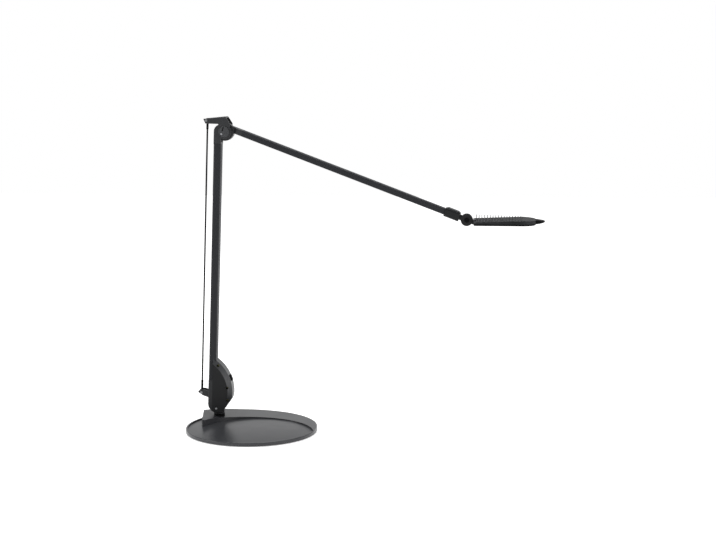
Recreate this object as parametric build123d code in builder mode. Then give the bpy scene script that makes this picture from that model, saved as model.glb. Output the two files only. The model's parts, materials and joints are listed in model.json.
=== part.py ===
from build123d import *
import math
import os

# Balanced-arm desk lamp: a round base with a raised ledge, a swivelling foot, a lower arm that
# carries a spring housing, an upper arm held level by a bracket, a tie rod and a balance lever,
# and a finned head. Millimetres, +Z up, +X under the upper arm, -Y towards the viewer.
# The origin is the centre of the base's underside, on the surface that the lamp stands on.

# ---- Fits
running_fit = 0.05          # radial, pins and shafts that turn
body_gap = 0.3              # between pieces that move past each other
seat_gap = 0.1              # between pieces of one body, one inside the other
open_pivot_gap = 0.3        # radial, lower end of the tie rod
cut_over = 1.0              # how far a cut runs past the face that it opens

# ---- Base
base_radius = 116.0
pad_thickness = 1.2
pad_inset = 2.0             # pad's edge inside the plate's
plate_thickness = 1.5
plate_inset = 5.0           # plate's edge inside the cover's
rim_height = 7.3            # top of the raised lip round the dish, above the table
rim_round = 1.2
lip_width = 3.5
dish_edge = 5.2             # dish surface where it meets the lip
dish_crown = 8.6            # and at the middle
cover_skin = 1.8
weight_gap = 1.0            # between the weight's edge and the cover
ledge_inner_radius = 103.0  # plan arc of the ledge's inner wall
ledge_centre = (11.6, -43.2)
ledge_end_corner = (-87.0, -14.0)   # where the ledge's end face meets its inner wall
ledge_end_turn = 7.7        # degrees that the end face is turned
ledge_height_left = 24.0    # ledge top where it would meet the rim at the left, near the foot, at the right
ledge_height_mid = 11.6
ledge_height_right = 7.7
ledge_corner_round = 2.5
ledge_mid_x = -30.0
plate_screw_circle = 88.0
plate_screw_turn = 10.0
plate_screw_radius = 1.5
plate_screw_head = 2.9
plate_screw_sink = 1.4
plate_screw_length = 3.0
plate_boss_radius = 4.0

# ---- Cord gland in the ledge's end
gland_along = 30.0          # from the end face's corner
gland_height = 12.8
gland_bore_radius = 2.6
gland_barrel_radius = 4.2
gland_flange_radius = 5.6
gland_flange = 1.2
gland_length = 8.0
cord_space_radius = 3.6
cord_space_depth = 12.0

# ---- Foot and swivel
foot_x = -66.0
foot_y = 48.0
collar_radius = 9.8
collar_bottom = 12.0
collar_top = 19.5
collar_chamfer = 0.6
foot_flange = 1.1
foot_flange_radius = 9.75
spindle_radius = 5.0
spindle_bottom = 3.2
bush_wall = 1.5
nut_space_radius = 11.0
nut_space_top = 7.6
nut_height = 3.0
nut_across = 15.0
nut_washer = 0.9
nut_washer_radius = 9.0
tongue_top_radius = 8.4
tongue_half = 4.0
tongue_foot_inset = 0.5     # tongue's root inside the flange's edge
washer_thickness = 0.8
washer_radius = 7.4

# ---- Lower arm
tilt_height = 38.5          # tilt pin above the table
lean = 2.0                  # degrees from upright
arm_pitch = 489.0           # tilt pin to elbow pin
pin_radius = 4.0
tube_thickness = 13.2       # across the arm, in its own plane
tube_depth = 24.0
tube_corner = 3.5
tube_wall = 1.5
tube_back = 12.1            # the tube's axis lies this far behind the line of the pins
plug_length = 20.0
cheek_inner = 8.1           # half gap between the lower fitting's cheeks
fitting_radius = 16.5
fitting_round = 1.0
shoulder_low = 41.0         # lower fitting's shoulder above the tilt pin
shoulder_height = 3.0
head_cheek_inner = 7.6      # half gap between the elbow fitting's cheeks
head_cheek_radius = 12.5
head_cheek_back = 6.2       # second round of the elbow fitting, behind the first
head_shoulder_low = 19.0    # elbow fitting's shoulder below the elbow pin
cheek_screw_radius = 1.5
cheek_screw_head = 2.0
cheek_screw_head_height = 1.2
cheek_screw_depth = 3.0
cheek_screw_spot = (-2.8, -7.7)     # from the tilt pin, through the shell into the cheek
hub_slot = ((-2.2, -3.4), (-2.4, -1.8))     # marker slot above that screw, sunk into the shell
hub_slot_radius = 0.8
hub_slot_depth = 0.9

# ---- Spring housing
housing_half = 17.0
housing_wall = 2.0
bevel_depth = 6.0
bevel_width = 8.0
inner_bevel_start = 9.5     # from the middle plane
seam_u = -10.5              # back edge of the shells
bulge_radius = 73.9
bulge_reach = 25.4          # furthest point in front of the line of the pins
bulge_rise = 19.6           # its height above the tilt pin
corner_radius = 26.0
corner_sweep = 36.2
hub_radius = 15.0
hub_shift = -1.0
housing_screw_spots = ((16.8, 8.2), (16.0, 31.0), (-1.6, 70.6))
housing_screw_radius = 1.3
housing_screw_head = 2.4
housing_screw_head_height = 1.6
housing_screw_length = 12.0
housing_screw_seat = 7.0    # from the middle plane
housing_boss_radius = 3.7
housing_post_radius = 3.2
spring_anchor = (0.5, 60.0)
spring_pin_radius = 1.5
anchor_boss_inner = 11.0
pin_head_radius = 4.8
pin_head_height = 1.6
rivet_head_radius = 2.4
rivet_head_height = 0.9

# ---- Power button
button_angle = 22.0         # place on the bulge
button_length = 11.5
button_width = 9.0
button_round = 2.0
button_proud = 2.3
button_crown_round = 1.0
button_flange = 1.2
button_flange_top = 2.6     # under the housing's surface
button_lip = 1.2
button_stem_radius = 2.0
button_stem_end = 5.2       # under the housing's surface
button_travel = 1.2
switch_size = 6.2
switch_height = 3.4
switch_plunger = 1.0
switch_plunger_radius = 1.6
board_thickness = 1.5
board_length = 12.0

# ---- Balance lever, bracket and tie rod
rod_back = 32.0             # rod pins behind the line of the pins
rod_rise = 18.6             # and above the pivot that they turn round
rod_radius = 1.15
rod_pin_radius = 1.5
eye_radius = 3.0
eye_half = 4.8
sleeve_radius = 2.0
sleeve_upper = 16.0
sleeve_lower = 21.0
rod_start = 6.0             # rod's end from the pin
lever_outer = 7.8
lever_inner = 5.1           # half gap between the lever's plates
lever_hub = 9.5
lever_room = 60.0           # the space between the plates, cut right through
lever_shoulder = (-18.0, 21.3)      # outline of the lever's plates, from the pivot
lever_crest = (-27.5, 24.6)
lever_tip_high = (-34.7, 23.2)
lever_tip = (-38.5, 19.6)
lever_tip_low = (-29.3, 13.7)
lever_waist = (-18.0, 10.2)
lever_web_end = (-26.0, 12.6)
lever_web = 2.0
lever_round = 1.2
crank = (6.0, 10.4)         # spring pin on the lever
crank_radius = 3.0
bracket_inner = 12.4        # half gap between the bracket's plates
bracket_plate = 2.5
bracket_hub = 10.5
bracket_under = 13.2
bracket_top = (1.8, 26.4)
bracket_tip = (-37.2, 21.2)
bracket_tip_low = (-33.2, 13.2)
bracket_front = (10.2, 14.0)
bracket_round = 3.0
bracket_tip_round = 0.8
bracket_web = 2.2
bracket_web_back = -28.8
cap_radius = 9.4
cap_height = 1.6
cap_round = 0.6
cap_slot = ((-1.3, 7.4), (-2.9, 1.6))       # marker slot in each cap, from the elbow pin
cap_slot_radius = 0.9
cap_slot_depth = 0.9
hub_screw_spot = (-4.2, -4.0)       # from the elbow pin
hub_screw_radius = 0.9
hub_screw_head = 1.7
hub_screw_head_height = 0.6
spacer_radius = 2.6

# ---- Balance spring
spring_radius = 4.1
spring_wire = 1.2
spring_hook_radius = 2.2    # to the middle of the wire
spring_coil_gap = 5.0       # from each pin to the end of the coil
spring_shank_radius = 0.9

# ---- Upper arm
arm_drop = 20.75            # degrees below level
upper_thickness = 11.0
upper_depth = 20.0
upper_wall = 1.4
upper_corner = 3.0
upper_rise = 8.1            # the tube's axis above the line of elbow and wrist pins
knuckle_radius = 16.2
knuckle_half = 6.5
knuckle_widen = 14.5        # where the knuckle starts to widen to the tube
knuckle_wide = 20.0
knuckle_end = 30.0
elbow_washer_radius = 9.0

# ---- Wrist
wrist_reach = 452.0         # elbow pin to head pin along the arm
neck_reach = 13.5           # sleeve's end to the head pin
sleeve_length = 27.5
sleeve_grip = 5.0           # tube inside the sleeve
sleeve_thickness = 15.4
sleeve_depth = 24.0
sleeve_corner = 3.5
sleeve_end_round = 1.2
sleeve_cap_height = 1.6
sleeve_cap_length = 22.0
sleeve_cap_width = 17.0
sleeve_cap_corner = 3.0
sleeve_cap_round = 0.8
stem_radius = 3.5
retainer_radius = 5.4
retainer_height = 1.4
bearing_length = 13.0       # of the stem in the sleeve
stem_tail = 6.0             # behind the bearing, where the retainer sits
stem_step = 1.0
neck_radius = 4.6
neck_collar_length = 2.5
neck_tongue_radius = 9.0
neck_half = 3.7

# ---- Head, heights from the head pin
head_width = 76.0
head_start = 12.0           # rear edge
head_end = 120.0
head_front_corner = 25.0
head_rear_corner = 4.0
head_bottom = -6.8
tray_height = 3.0
tray_lip = 1.0
tray_wall = 1.8
tray_round = 1.3
window_margin = 5.0
sink_plate = 3.0            # at the rear, behind the first fin
fin_count = 17
fin_pitch = 4.9
fin_thickness = 1.2
fin_first = 16.6
fin_root = 1.0              # of each fin inside the plate
fin_top_rear = 5.9
fin_top_front = 3.5
fin_margin = 1.5
nose_start = 98.0           # solid nose in front of the fins
nose_top = 2.4
nose_end_top = 1.6
tab_end = 136.0
tab_half_width = 13.0
tab_round = 8.0
tab_root_bottom = -5.6
tab_tip_top = -0.6
tab_tip_bottom = -2.2
tab_belly = (128.5, -4.3)
hinge_radius = 10.5
hinge_inner = 4.0
hinge_outer = 8.0
hinge_bar_half = 14.0
hinge_bar_start = 9.6
hinge_foot_end = 15.2
hinge_foot_height = 1.6
head_pin_radius = 2.5
head_pin_head = 4.2
head_screw_radius = 1.0
head_screw_head = 1.9
head_screw_spread = 11.2
head_screw_depth = 1.5
head_screw_head_height = 0.9
diffuser_thickness = 0.8
led_board_thickness = 0.6
led_size = 2.8
led_height = 0.5
led_columns = 9
led_rows = 3
led_pitch = (10.0, 15.0)

# ---- Derived places
cover_bottom = pad_thickness
plate_radius = base_radius - plate_inset
pad_radius = plate_radius - pad_inset
dish_radius = base_radius - lip_width
plate_top = pad_thickness + plate_thickness
tube_rear = -(tube_back + tube_thickness / 2)
tube_front = -(tube_back - tube_thickness / 2)
tube_half = tube_depth / 2
fitting_centre = tube_rear + fitting_radius
tube_start = shoulder_low + shoulder_height
tube_end = arm_pitch - head_shoulder_low - shoulder_height
bulge_centre = (bulge_reach - bulge_radius, bulge_rise)
corner_centre = (bulge_reach - corner_radius, bulge_rise)
rod_pin_spot = (-rod_back, rod_rise)
sink_bottom = head_bottom + tray_height
sink_top = sink_bottom + sink_plate
head_screw_x = (head_start + hinge_foot_end) / 2
sleeve_end = wrist_reach - neck_reach
sleeve_start = sleeve_end - sleeve_length
upper_end = sleeve_start + sleeve_grip
sleeve_floor = sleeve_end - bearing_length
neck_collar_end = sleeve_end + neck_collar_length
foot_top = collar_top + body_gap + foot_flange


def side_plane(x, z, slope):
    """Plane in the arms' middle plane through (x, z), facing the viewer, its x axis sloping down."""
    turn = math.radians(slope)
    return Plane(origin=(x, foot_y, z), x_dir=(math.cos(turn), 0, -math.sin(turn)), z_dir=(0, -1, 0))


lower_plane = side_plane(foot_x, tilt_height, lean)
elbow_point = lower_plane.from_local_coords(Vector(0, arm_pitch, 0))
elbow_plane = side_plane(elbow_point.X, elbow_point.Z, lean)
upper_plane = side_plane(elbow_point.X, elbow_point.Z, arm_drop)
wrist_point = upper_plane.from_local_coords(Vector(wrist_reach, upper_rise, 0))
head_plane = side_plane(wrist_point.X, wrist_point.Z, 0)


def across_lower(height):
    """Plane across the lower tube, centred on it."""
    origin = lower_plane.from_local_coords(Vector(-tube_back, height, 0))
    return Plane(origin=origin, x_dir=lower_plane.x_dir, z_dir=lower_plane.y_dir)


def across_upper(reach):
    """Plane across the upper tube, centred on it."""
    origin = upper_plane.from_local_coords(Vector(reach, upper_rise, 0))
    return Plane(origin=origin, x_dir=upper_plane.y_dir, z_dir=upper_plane.x_dir)


def level_plane(height):
    """Level plane at a height above the head pin, centred on it."""
    return Plane(origin=(wrist_point.X, foot_y, wrist_point.Z + height))


def bar(plane, spot, radius, low, high, mode=Mode.ADD):
    """Round bar or bore square to a plane, between two distances from it."""
    with BuildSketch(plane.offset(low)) as section:
        with Locations(spot):
            Circle(radius)
    extrude(section.sketch, amount=high - low, mode=mode)


def both_bars(plane, spot, radius, inner, outer, mode=Mode.ADD):
    """The same round bar on both sides of the middle plane."""
    bar(plane, spot, radius, inner, outer, mode)
    bar(plane, spot, radius, -outer, -inner, mode)


def ring(plane, spot, radius, bore, low, high):
    """Round washer or sleeve square to a plane."""
    with BuildSketch(plane.offset(low)) as section:
        with Locations(spot):
            Circle(radius)
            Circle(bore, mode=Mode.SUBTRACT)
    extrude(section.sketch, amount=high - low)


def both_rings(plane, spot, radius, bore, inner, outer):
    """The same washer on both sides of the middle plane."""
    ring(plane, spot, radius, bore, inner, outer)
    ring(plane, spot, radius, bore, -outer, -inner)


def block(plane, low_corner, high_corner, low, high, mode=Mode.ADD):
    """Block square to a plane between two corners of its outline."""
    size = (high_corner[0] - low_corner[0], high_corner[1] - low_corner[1])
    with BuildSketch(plane.offset(low)) as section:
        with Locations(low_corner):
            Rectangle(size[0], size[1], align=Align.MIN)
    extrude(section.sketch, amount=high - low, mode=mode)


def slot(plane, ends, radius, low, high, mode=Mode.ADD):
    """Bar with round ends square to a plane, between two points of it."""
    with BuildSketch(plane.offset(low)) as section:
        with Locations(*ends):
            Circle(radius)
        make_hull()
    extrude(section.sketch, amount=high - low, mode=mode)


def sleeve(plane, width, height, corner, wall, length):
    """Square tube with rounded corners."""
    with BuildSketch(plane) as section:
        RectangleRounded(width, height, corner)
        RectangleRounded(width - 2 * wall, height - 2 * wall, corner - wall, mode=Mode.SUBTRACT)
    extrude(section.sketch, amount=length)


def plug(plane, width, height, corner, length, mode=Mode.ADD):
    """Square bar with rounded corners, such as one that fills a tube's end."""
    with BuildSketch(plane) as section:
        RectangleRounded(width, height, corner)
    extrude(section.sketch, amount=length, mode=mode)


def finish(piece, label):
    """Name a piece and write it."""
    piece.part.label = label
    export_step(piece.part, f"parts/{label}.step")


os.makedirs("parts", exist_ok=True)

# ======================================================================= base
foot_spot = (foot_x, foot_y)


def dome(radius, low, edge, crown):
    """Round solid, flat below and a shallow part of a sphere above."""
    rise = crown - edge
    sphere_radius = (radius**2 + rise**2) / (2 * rise)
    with BuildPart() as solid:
        bar(Plane.XY, (0, 0), radius, low, crown + cut_over)
        with Locations((0, 0, crown - sphere_radius)):
            Sphere(sphere_radius, mode=Mode.INTERSECT)
    return solid.part


def ledge():
    """Raised crescent along the back of the base, its top a ramp that falls from left to right."""
    with BuildPart() as solid:
        with BuildSketch(Plane.XY.offset(plate_top)) as plan:
            Circle(base_radius)
            with Locations(ledge_centre):
                Circle(ledge_inner_radius, mode=Mode.SUBTRACT)
            with Locations(ledge_end_corner):
                Rectangle(
                    base_radius,
                    4 * base_radius,
                    rotation=ledge_end_turn,
                    align=(Align.MAX, Align.CENTER),
                    mode=Mode.SUBTRACT,
                )
            fillet(plan.vertices().sort_by(Axis.X)[:2], ledge_corner_round)
        extrude(amount=2 * ledge_height_left)
        with BuildSketch(Plane.XZ):
            with BuildLine():
                left = (-base_radius, ledge_height_left)
                right = (base_radius, ledge_height_right)
                above = 3 * ledge_height_left
                ThreePointArc(left, (ledge_mid_x, ledge_height_mid), right)
                Polyline(right, (base_radius, above), (-base_radius, above), left)
            make_face()
        extrude(amount=base_radius, both=True, mode=Mode.SUBTRACT)
    return solid.part


gland_turn = math.radians(ledge_end_turn)
gland_point = (
    ledge_end_corner[0] - gland_along * math.sin(gland_turn),
    ledge_end_corner[1] + gland_along * math.cos(gland_turn),
    gland_height,
)
gland_plane = Plane(origin=gland_point, x_dir=(0, 0, 1), z_dir=(-math.cos(gland_turn), -math.sin(gland_turn), 0))
hollow_edge = dish_edge - cover_skin
hollow_crown = dish_crown - cover_skin
hollow = dome(plate_radius + seat_gap, 0, hollow_edge, hollow_crown)
dish = dome(dish_radius, cover_bottom, dish_edge, dish_crown)
bush_radius = spindle_radius + running_fit + bush_wall
plate_screw_taper = math.degrees(math.atan(plate_screw_sink / plate_thickness))

with BuildPart() as base_cover:
    ring(Plane.XY, (0, 0), base_radius, dish_radius, cover_bottom, rim_height)
    fillet(base_cover.edges().filter_by(GeomType.CIRCLE).group_by(Axis.Z)[-1], rim_round)
    add(dish)
    add(ledge())
    add(hollow, mode=Mode.SUBTRACT)
    with BuildSketch(Plane.XY.offset(plate_top)):
        with PolarLocations(plate_screw_circle, 4, plate_screw_turn):
            Circle(plate_boss_radius)
    extrude(amount=dish_edge - plate_top)
    with BuildSketch(Plane.XY):
        with PolarLocations(plate_screw_circle, 4, plate_screw_turn):
            Circle(plate_screw_radius)
    extrude(amount=dish_edge - cover_skin / 2, mode=Mode.SUBTRACT)
    bar(Plane.XY, foot_spot, nut_space_radius, 0, nut_space_top, Mode.SUBTRACT)
    bar(Plane.XY, foot_spot, bush_radius, nut_space_top, collar_bottom, Mode.SUBTRACT)
    bar(Plane.XY, foot_spot, collar_radius + seat_gap, collar_bottom, 2 * collar_top, Mode.SUBTRACT)
    bar(gland_plane, (0, 0), gland_barrel_radius + seat_gap, gland_flange - gland_length, 0, Mode.SUBTRACT)
    bar(gland_plane, (0, 0), cord_space_radius, -cord_space_depth, -gland_length / 2, Mode.SUBTRACT)
finish(base_cover, "base_cover")

with BuildPart() as base_weight:
    add(dome(plate_radius - weight_gap, plate_top, hollow_edge - seat_gap, hollow_crown - seat_gap))
    bar(Plane.XY, foot_spot, nut_space_radius + weight_gap, 0, dish_crown, Mode.SUBTRACT)
    with BuildSketch(Plane.XY):
        with PolarLocations(plate_screw_circle, 4, plate_screw_turn):
            Circle(plate_boss_radius + 2 * seat_gap)
    extrude(amount=dish_crown, mode=Mode.SUBTRACT)
finish(base_weight, "base_weight")

with BuildPart() as base_plate:
    bar(Plane.XY, (0, 0), plate_radius, pad_thickness, plate_top)
    with BuildSketch(Plane.XY.offset(pad_thickness)):
        with PolarLocations(plate_screw_circle, 4, plate_screw_turn):
            Circle(plate_screw_head + seat_gap)
    extrude(amount=plate_thickness, taper=plate_screw_taper, mode=Mode.SUBTRACT)
finish(base_plate, "base_plate")

with BuildPart() as base_pad:
    bar(Plane.XY, (0, 0), pad_radius, 0, pad_thickness)
finish(base_pad, "base_pad")

with BuildPart() as base_screws:
    with BuildSketch(Plane.XY.offset(pad_thickness)):
        with PolarLocations(plate_screw_circle, 4, plate_screw_turn):
            Circle(plate_screw_head)
    extrude(amount=plate_thickness, taper=plate_screw_taper)
    with BuildSketch(Plane.XY.offset(pad_thickness)):
        with PolarLocations(plate_screw_circle, 4, plate_screw_turn):
            Circle(plate_screw_radius - running_fit)
    extrude(amount=plate_screw_length)
finish(base_screws, "base_screws")

with BuildPart() as cord_gland:
    ring(gland_plane, (0, 0), gland_barrel_radius, gland_bore_radius, gland_flange - gland_length, 0)
    ring(gland_plane, (0, 0), gland_flange_radius, gland_bore_radius, 0, gland_flange)
finish(cord_gland, "cord_gland")

with BuildPart() as swivel_bush:
    ring(Plane.XY, foot_spot, bush_radius - running_fit, spindle_radius + running_fit, nut_space_top, collar_bottom)
finish(swivel_bush, "swivel_bush")

with BuildPart() as swivel_collar:
    ring(Plane.XY, foot_spot, collar_radius, spindle_radius + body_gap, collar_bottom, collar_top)
    chamfer(swivel_collar.edges().group_by(Axis.Z)[-1].sort_by(SortBy.LENGTH)[-1], collar_chamfer)
finish(swivel_collar, "swivel_collar")

# ======================================================================= foot
washer_top = nut_space_top - body_gap
nut_top = washer_top - nut_washer

with BuildPart() as swivel_washer:
    ring(Plane.XY, foot_spot, nut_washer_radius, spindle_radius + seat_gap, nut_top, washer_top)
finish(swivel_washer, "swivel_washer")

with BuildPart() as swivel_nut:
    with BuildSketch(Plane.XY.offset(nut_top - nut_height)):
        with Locations(foot_spot):
            RegularPolygon(nut_across / 2, 6, major_radius=False)
            Circle(spindle_radius + seat_gap, mode=Mode.SUBTRACT)
    extrude(amount=nut_height)
finish(swivel_nut, "swivel_nut")

with BuildPart() as foot:
    bar(Plane.XY, foot_spot, spindle_radius, spindle_bottom, collar_top + body_gap)
    bar(Plane.XY, foot_spot, foot_flange_radius, collar_top + body_gap, foot_top)
    with BuildSketch(side_plane(foot_x, tilt_height, 0).offset(-tongue_half)):
        Circle(tongue_top_radius)
        with Locations((0, foot_top - tilt_height)):
            Rectangle(2 * (foot_flange_radius - tongue_foot_inset), foot_flange, align=(Align.CENTER, Align.MIN))
        make_hull()
    extrude(amount=2 * tongue_half)
    bar(lower_plane, (0, 0), pin_radius + running_fit, -tongue_half, tongue_half, Mode.SUBTRACT)
finish(foot, "foot")

with BuildPart() as tilt_washers:
    both_rings(lower_plane, (0, 0), washer_radius, pin_radius + seat_gap, tongue_half, tongue_half + washer_thickness)
finish(tilt_washers, "tilt_washers")

# ======================================================================= lower arm
cheek_screw_end = tube_half - cheek_screw_depth
cheek_screw_seat = housing_half - cheek_screw_head_height
tube_inside = (tube_thickness - 2 * (tube_wall + seat_gap), tube_depth - 2 * (tube_wall + seat_gap))

with BuildPart() as lower_tube:
    sleeve(across_lower(tube_start), tube_thickness, tube_depth, tube_corner, tube_wall, tube_end - tube_start)
finish(lower_tube, "lower_tube")

with BuildPart() as lower_fitting:
    with BuildSketch(lower_plane.offset(-tube_half)):
        with Locations((fitting_centre, 0)):
            Circle(fitting_radius)
        with Locations((tube_rear, 0)):
            Rectangle(tube_thickness, tube_start, align=Align.MIN)
    extrude(amount=tube_depth)
    fillet(lower_fitting.faces().sort_by(Axis.Y)[0].edges(), fitting_round)
    fillet(lower_fitting.faces().sort_by(Axis.Y)[-1].edges(), fitting_round)
    block(
        lower_plane,
        (-base_radius, -base_radius),
        (base_radius, shoulder_low),
        -cheek_inner,
        cheek_inner,
        Mode.SUBTRACT,
    )
    plug(across_lower(tube_start), tube_inside[0], tube_inside[1], tube_corner - tube_wall, plug_length)
    bar(lower_plane, (0, 0), pin_radius + running_fit, -tube_half, tube_half, Mode.SUBTRACT)
    both_bars(lower_plane, cheek_screw_spot, cheek_screw_radius, cheek_screw_end, tube_half, Mode.SUBTRACT)
finish(lower_fitting, "lower_fitting")

with BuildPart() as post_head:
    with BuildSketch(elbow_plane.offset(-tube_half)):
        with Locations((0, 0), (-head_cheek_back, 0)):
            Circle(head_cheek_radius)
        make_hull()
        with Locations((tube_rear, tube_end - arm_pitch)):
            Rectangle(tube_thickness, arm_pitch - tube_end, align=Align.MIN)
    extrude(amount=tube_depth)
    fillet(post_head.faces().sort_by(Axis.Y)[0].edges(), fitting_round)
    fillet(post_head.faces().sort_by(Axis.Y)[-1].edges(), fitting_round)
    block(
        elbow_plane,
        (-base_radius, -head_shoulder_low),
        (base_radius, base_radius),
        -head_cheek_inner,
        head_cheek_inner,
        Mode.SUBTRACT,
    )
    plug(across_lower(tube_end), tube_inside[0], tube_inside[1], tube_corner - tube_wall, -plug_length)
    bar(elbow_plane, (0, 0), pin_radius + running_fit, -tube_half, tube_half, Mode.SUBTRACT)
finish(post_head, "post_head")

with BuildPart() as cheek_screws:
    both_bars(lower_plane, cheek_screw_spot, cheek_screw_radius - running_fit, cheek_screw_end, housing_half)
    both_bars(lower_plane, cheek_screw_spot, cheek_screw_head, cheek_screw_seat, housing_half)
finish(cheek_screws, "cheek_screws")

with BuildPart() as tilt_pin:
    bar(lower_plane, (0, 0), pin_radius, -tube_half, tube_half)
    both_bars(lower_plane, (0, 0), pin_head_radius, tube_half, tube_half + pin_head_height)
finish(tilt_pin, "tilt_pin")


# ======================================================================= spring housing
def housing_outline(plane, bevel, wall):
    """Side outline of the housing, drawn in by the bevel along its front and by the wall all round."""
    front = bevel + wall
    hub = hub_radius - wall
    back = seam_u + wall
    sweep = math.radians(corner_sweep)
    top_turn = math.degrees(math.acos((back - bulge_centre[0]) / (bulge_radius - front)))
    beside_line = (corner_centre[0] - hub_shift) * math.cos(sweep) - corner_centre[1] * math.sin(sweep)
    meet = math.degrees(math.acos((beside_line + corner_radius - front) / hub)) - corner_sweep
    low_turn = math.degrees(math.acos((back - hub_shift) / hub))
    with BuildSketch(plane) as outline:
        with BuildLine():
            bulge = CenterArc(bulge_centre, bulge_radius - front, 0, top_turn)
            corner = CenterArc(corner_centre, corner_radius - front, -corner_sweep, corner_sweep)
            under = CenterArc((hub_shift, 0), hub, meet, -(meet + low_turn))
            Line(corner @ 0, under @ 0)
            Line(under @ 1, bulge @ 1)
        make_face()
    return outline.sketch


def bevelled(bevel_start, half, wall):
    """Near half of the housing's outer or inner form, bevelled along its front."""
    with BuildPart() as solid:
        extrude(housing_outline(lower_plane, 0, wall), amount=bevel_start)
        wide = housing_outline(lower_plane.offset(bevel_start), 0, wall)
        narrow = housing_outline(lower_plane.offset(half), bevel_width, wall)
        loft([wide, narrow], ruled=True)
    return solid.part


def housing_half_shell():
    """Near shell without its screw bosses: a hollow half, open to the tube behind it."""
    with BuildPart() as solid:
        add(bevelled(housing_half - bevel_depth, housing_half, 0))
        add(bevelled(inner_bevel_start, housing_half - housing_wall, housing_wall), mode=Mode.SUBTRACT)
    return solid.part


def screw_posts(radius, length):
    """Posts round the housing's screws, kept inside the near half's outer form."""
    with BuildPart() as posts:
        for spot in housing_screw_spots:
            bar(lower_plane, spot, radius, 0, length)
        add(bevelled(housing_half - bevel_depth, housing_half, 0), mode=Mode.INTERSECT)
    return posts.part


def clear_of_arm():
    """Cut away what the tube and the lower fitting fill, from the shell that is being made."""
    room = tube_half + seat_gap
    block(
        lower_plane,
        (-base_radius, -base_radius),
        (tube_front + seat_gap, base_radius),
        -room,
        room,
        Mode.SUBTRACT,
    )
    bar(lower_plane, (fitting_centre, 0), fitting_radius + seat_gap, -room, room, Mode.SUBTRACT)


def cheek_screw_holes():
    """Holes of both cheek screws, through the shells."""
    both_bars(lower_plane, cheek_screw_spot, cheek_screw_radius + seat_gap, 0, housing_half, Mode.SUBTRACT)
    head = cheek_screw_head + seat_gap
    both_bars(lower_plane, cheek_screw_spot, head, cheek_screw_seat, housing_half, Mode.SUBTRACT)


def button_window():
    """Window in the front of the shells that the power button stands in."""
    plug(
        button_plane.offset(-housing_wall - cut_over),
        button_width + 2 * body_gap,
        button_length + 2 * body_gap,
        button_round,
        housing_wall + 2 * cut_over,
        Mode.SUBTRACT,
    )


arm_middle = Plane(origin=(0, foot_y, 0), x_dir=(1, 0, 0), z_dir=(0, -1, 0))
button_turn = math.radians(button_angle)
button_u = bulge_centre[0] + bulge_radius * math.cos(button_turn)
button_w = bulge_centre[1] + bulge_radius * math.sin(button_turn)
button_out = lower_plane.x_dir * math.cos(button_turn) + lower_plane.y_dir * math.sin(button_turn)
button_plane = Plane(
    origin=lower_plane.from_local_coords(Vector(button_u, button_w, 0)), x_dir=(0, 1, 0), z_dir=button_out
)
board_top = -(button_stem_end + button_travel + body_gap + switch_height)
inner_half = housing_half - housing_wall

with BuildPart() as housing_near:
    add(housing_half_shell())
    add(screw_posts(housing_boss_radius, housing_half))
    for spot in housing_screw_spots:
        bar(lower_plane, spot, housing_screw_head + seat_gap, housing_screw_seat, 2 * housing_half, Mode.SUBTRACT)
        bar(lower_plane, spot, housing_screw_radius + seat_gap, 0, housing_screw_seat, Mode.SUBTRACT)
    bar(lower_plane, spring_anchor, housing_post_radius, anchor_boss_inner, inner_half)
    bar(lower_plane, spring_anchor, spring_pin_radius + running_fit, 0, inner_half, Mode.SUBTRACT)
    bar(lower_plane, cheek_screw_spot, housing_post_radius, tube_half + seat_gap, inner_half)
    cheek_screw_holes()
    slot(lower_plane, hub_slot, hub_slot_radius, housing_half - hub_slot_depth, housing_half, Mode.SUBTRACT)
    clear_of_arm()
    button_window()
finish(housing_near, "housing_near")

with BuildPart() as housing_far:
    mirror(housing_half_shell(), about=arm_middle)
    mirror(screw_posts(housing_post_radius, inner_half), about=arm_middle)
    for spot in housing_screw_spots:
        bar(lower_plane, spot, housing_screw_radius + running_fit, -housing_screw_length, 0, Mode.SUBTRACT)
    bar(lower_plane, spring_anchor, housing_post_radius, -inner_half, -anchor_boss_inner)
    bar(lower_plane, spring_anchor, spring_pin_radius + running_fit, -inner_half, 0, Mode.SUBTRACT)
    bar(lower_plane, cheek_screw_spot, housing_post_radius, -inner_half, -tube_half - seat_gap)
    cheek_screw_holes()
    clear_of_arm()
    button_window()
finish(housing_far, "housing_far")

with BuildPart() as housing_screws:
    for spot in housing_screw_spots:
        bar(lower_plane, spot, housing_screw_head, housing_screw_seat, housing_screw_seat + housing_screw_head_height)
        bar(lower_plane, spot, housing_screw_radius, housing_screw_seat - housing_screw_length, housing_screw_seat)
finish(housing_screws, "housing_screws")

with BuildPart() as spring_anchor_pin:
    bar(lower_plane, spring_anchor, spring_pin_radius, -inner_half + seat_gap, inner_half - seat_gap)
finish(spring_anchor_pin, "spring_anchor_pin")

# ======================================================================= balance spring
spring_line = (
    (lower_plane.from_local_coords(Vector(spring_anchor[0], spring_anchor[1], 0)))
    - (lower_plane.from_local_coords(Vector(crank[0], crank[1], 0)))
)
spring_low = lower_plane.from_local_coords(Vector(crank[0], crank[1], 0))
spring_plane = Plane(origin=spring_low, x_dir=(0, 1, 0), z_dir=spring_line)
coil_length = spring_line.length - 2 * spring_coil_gap
hook_bore = spring_hook_radius - spring_wire / 2

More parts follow.
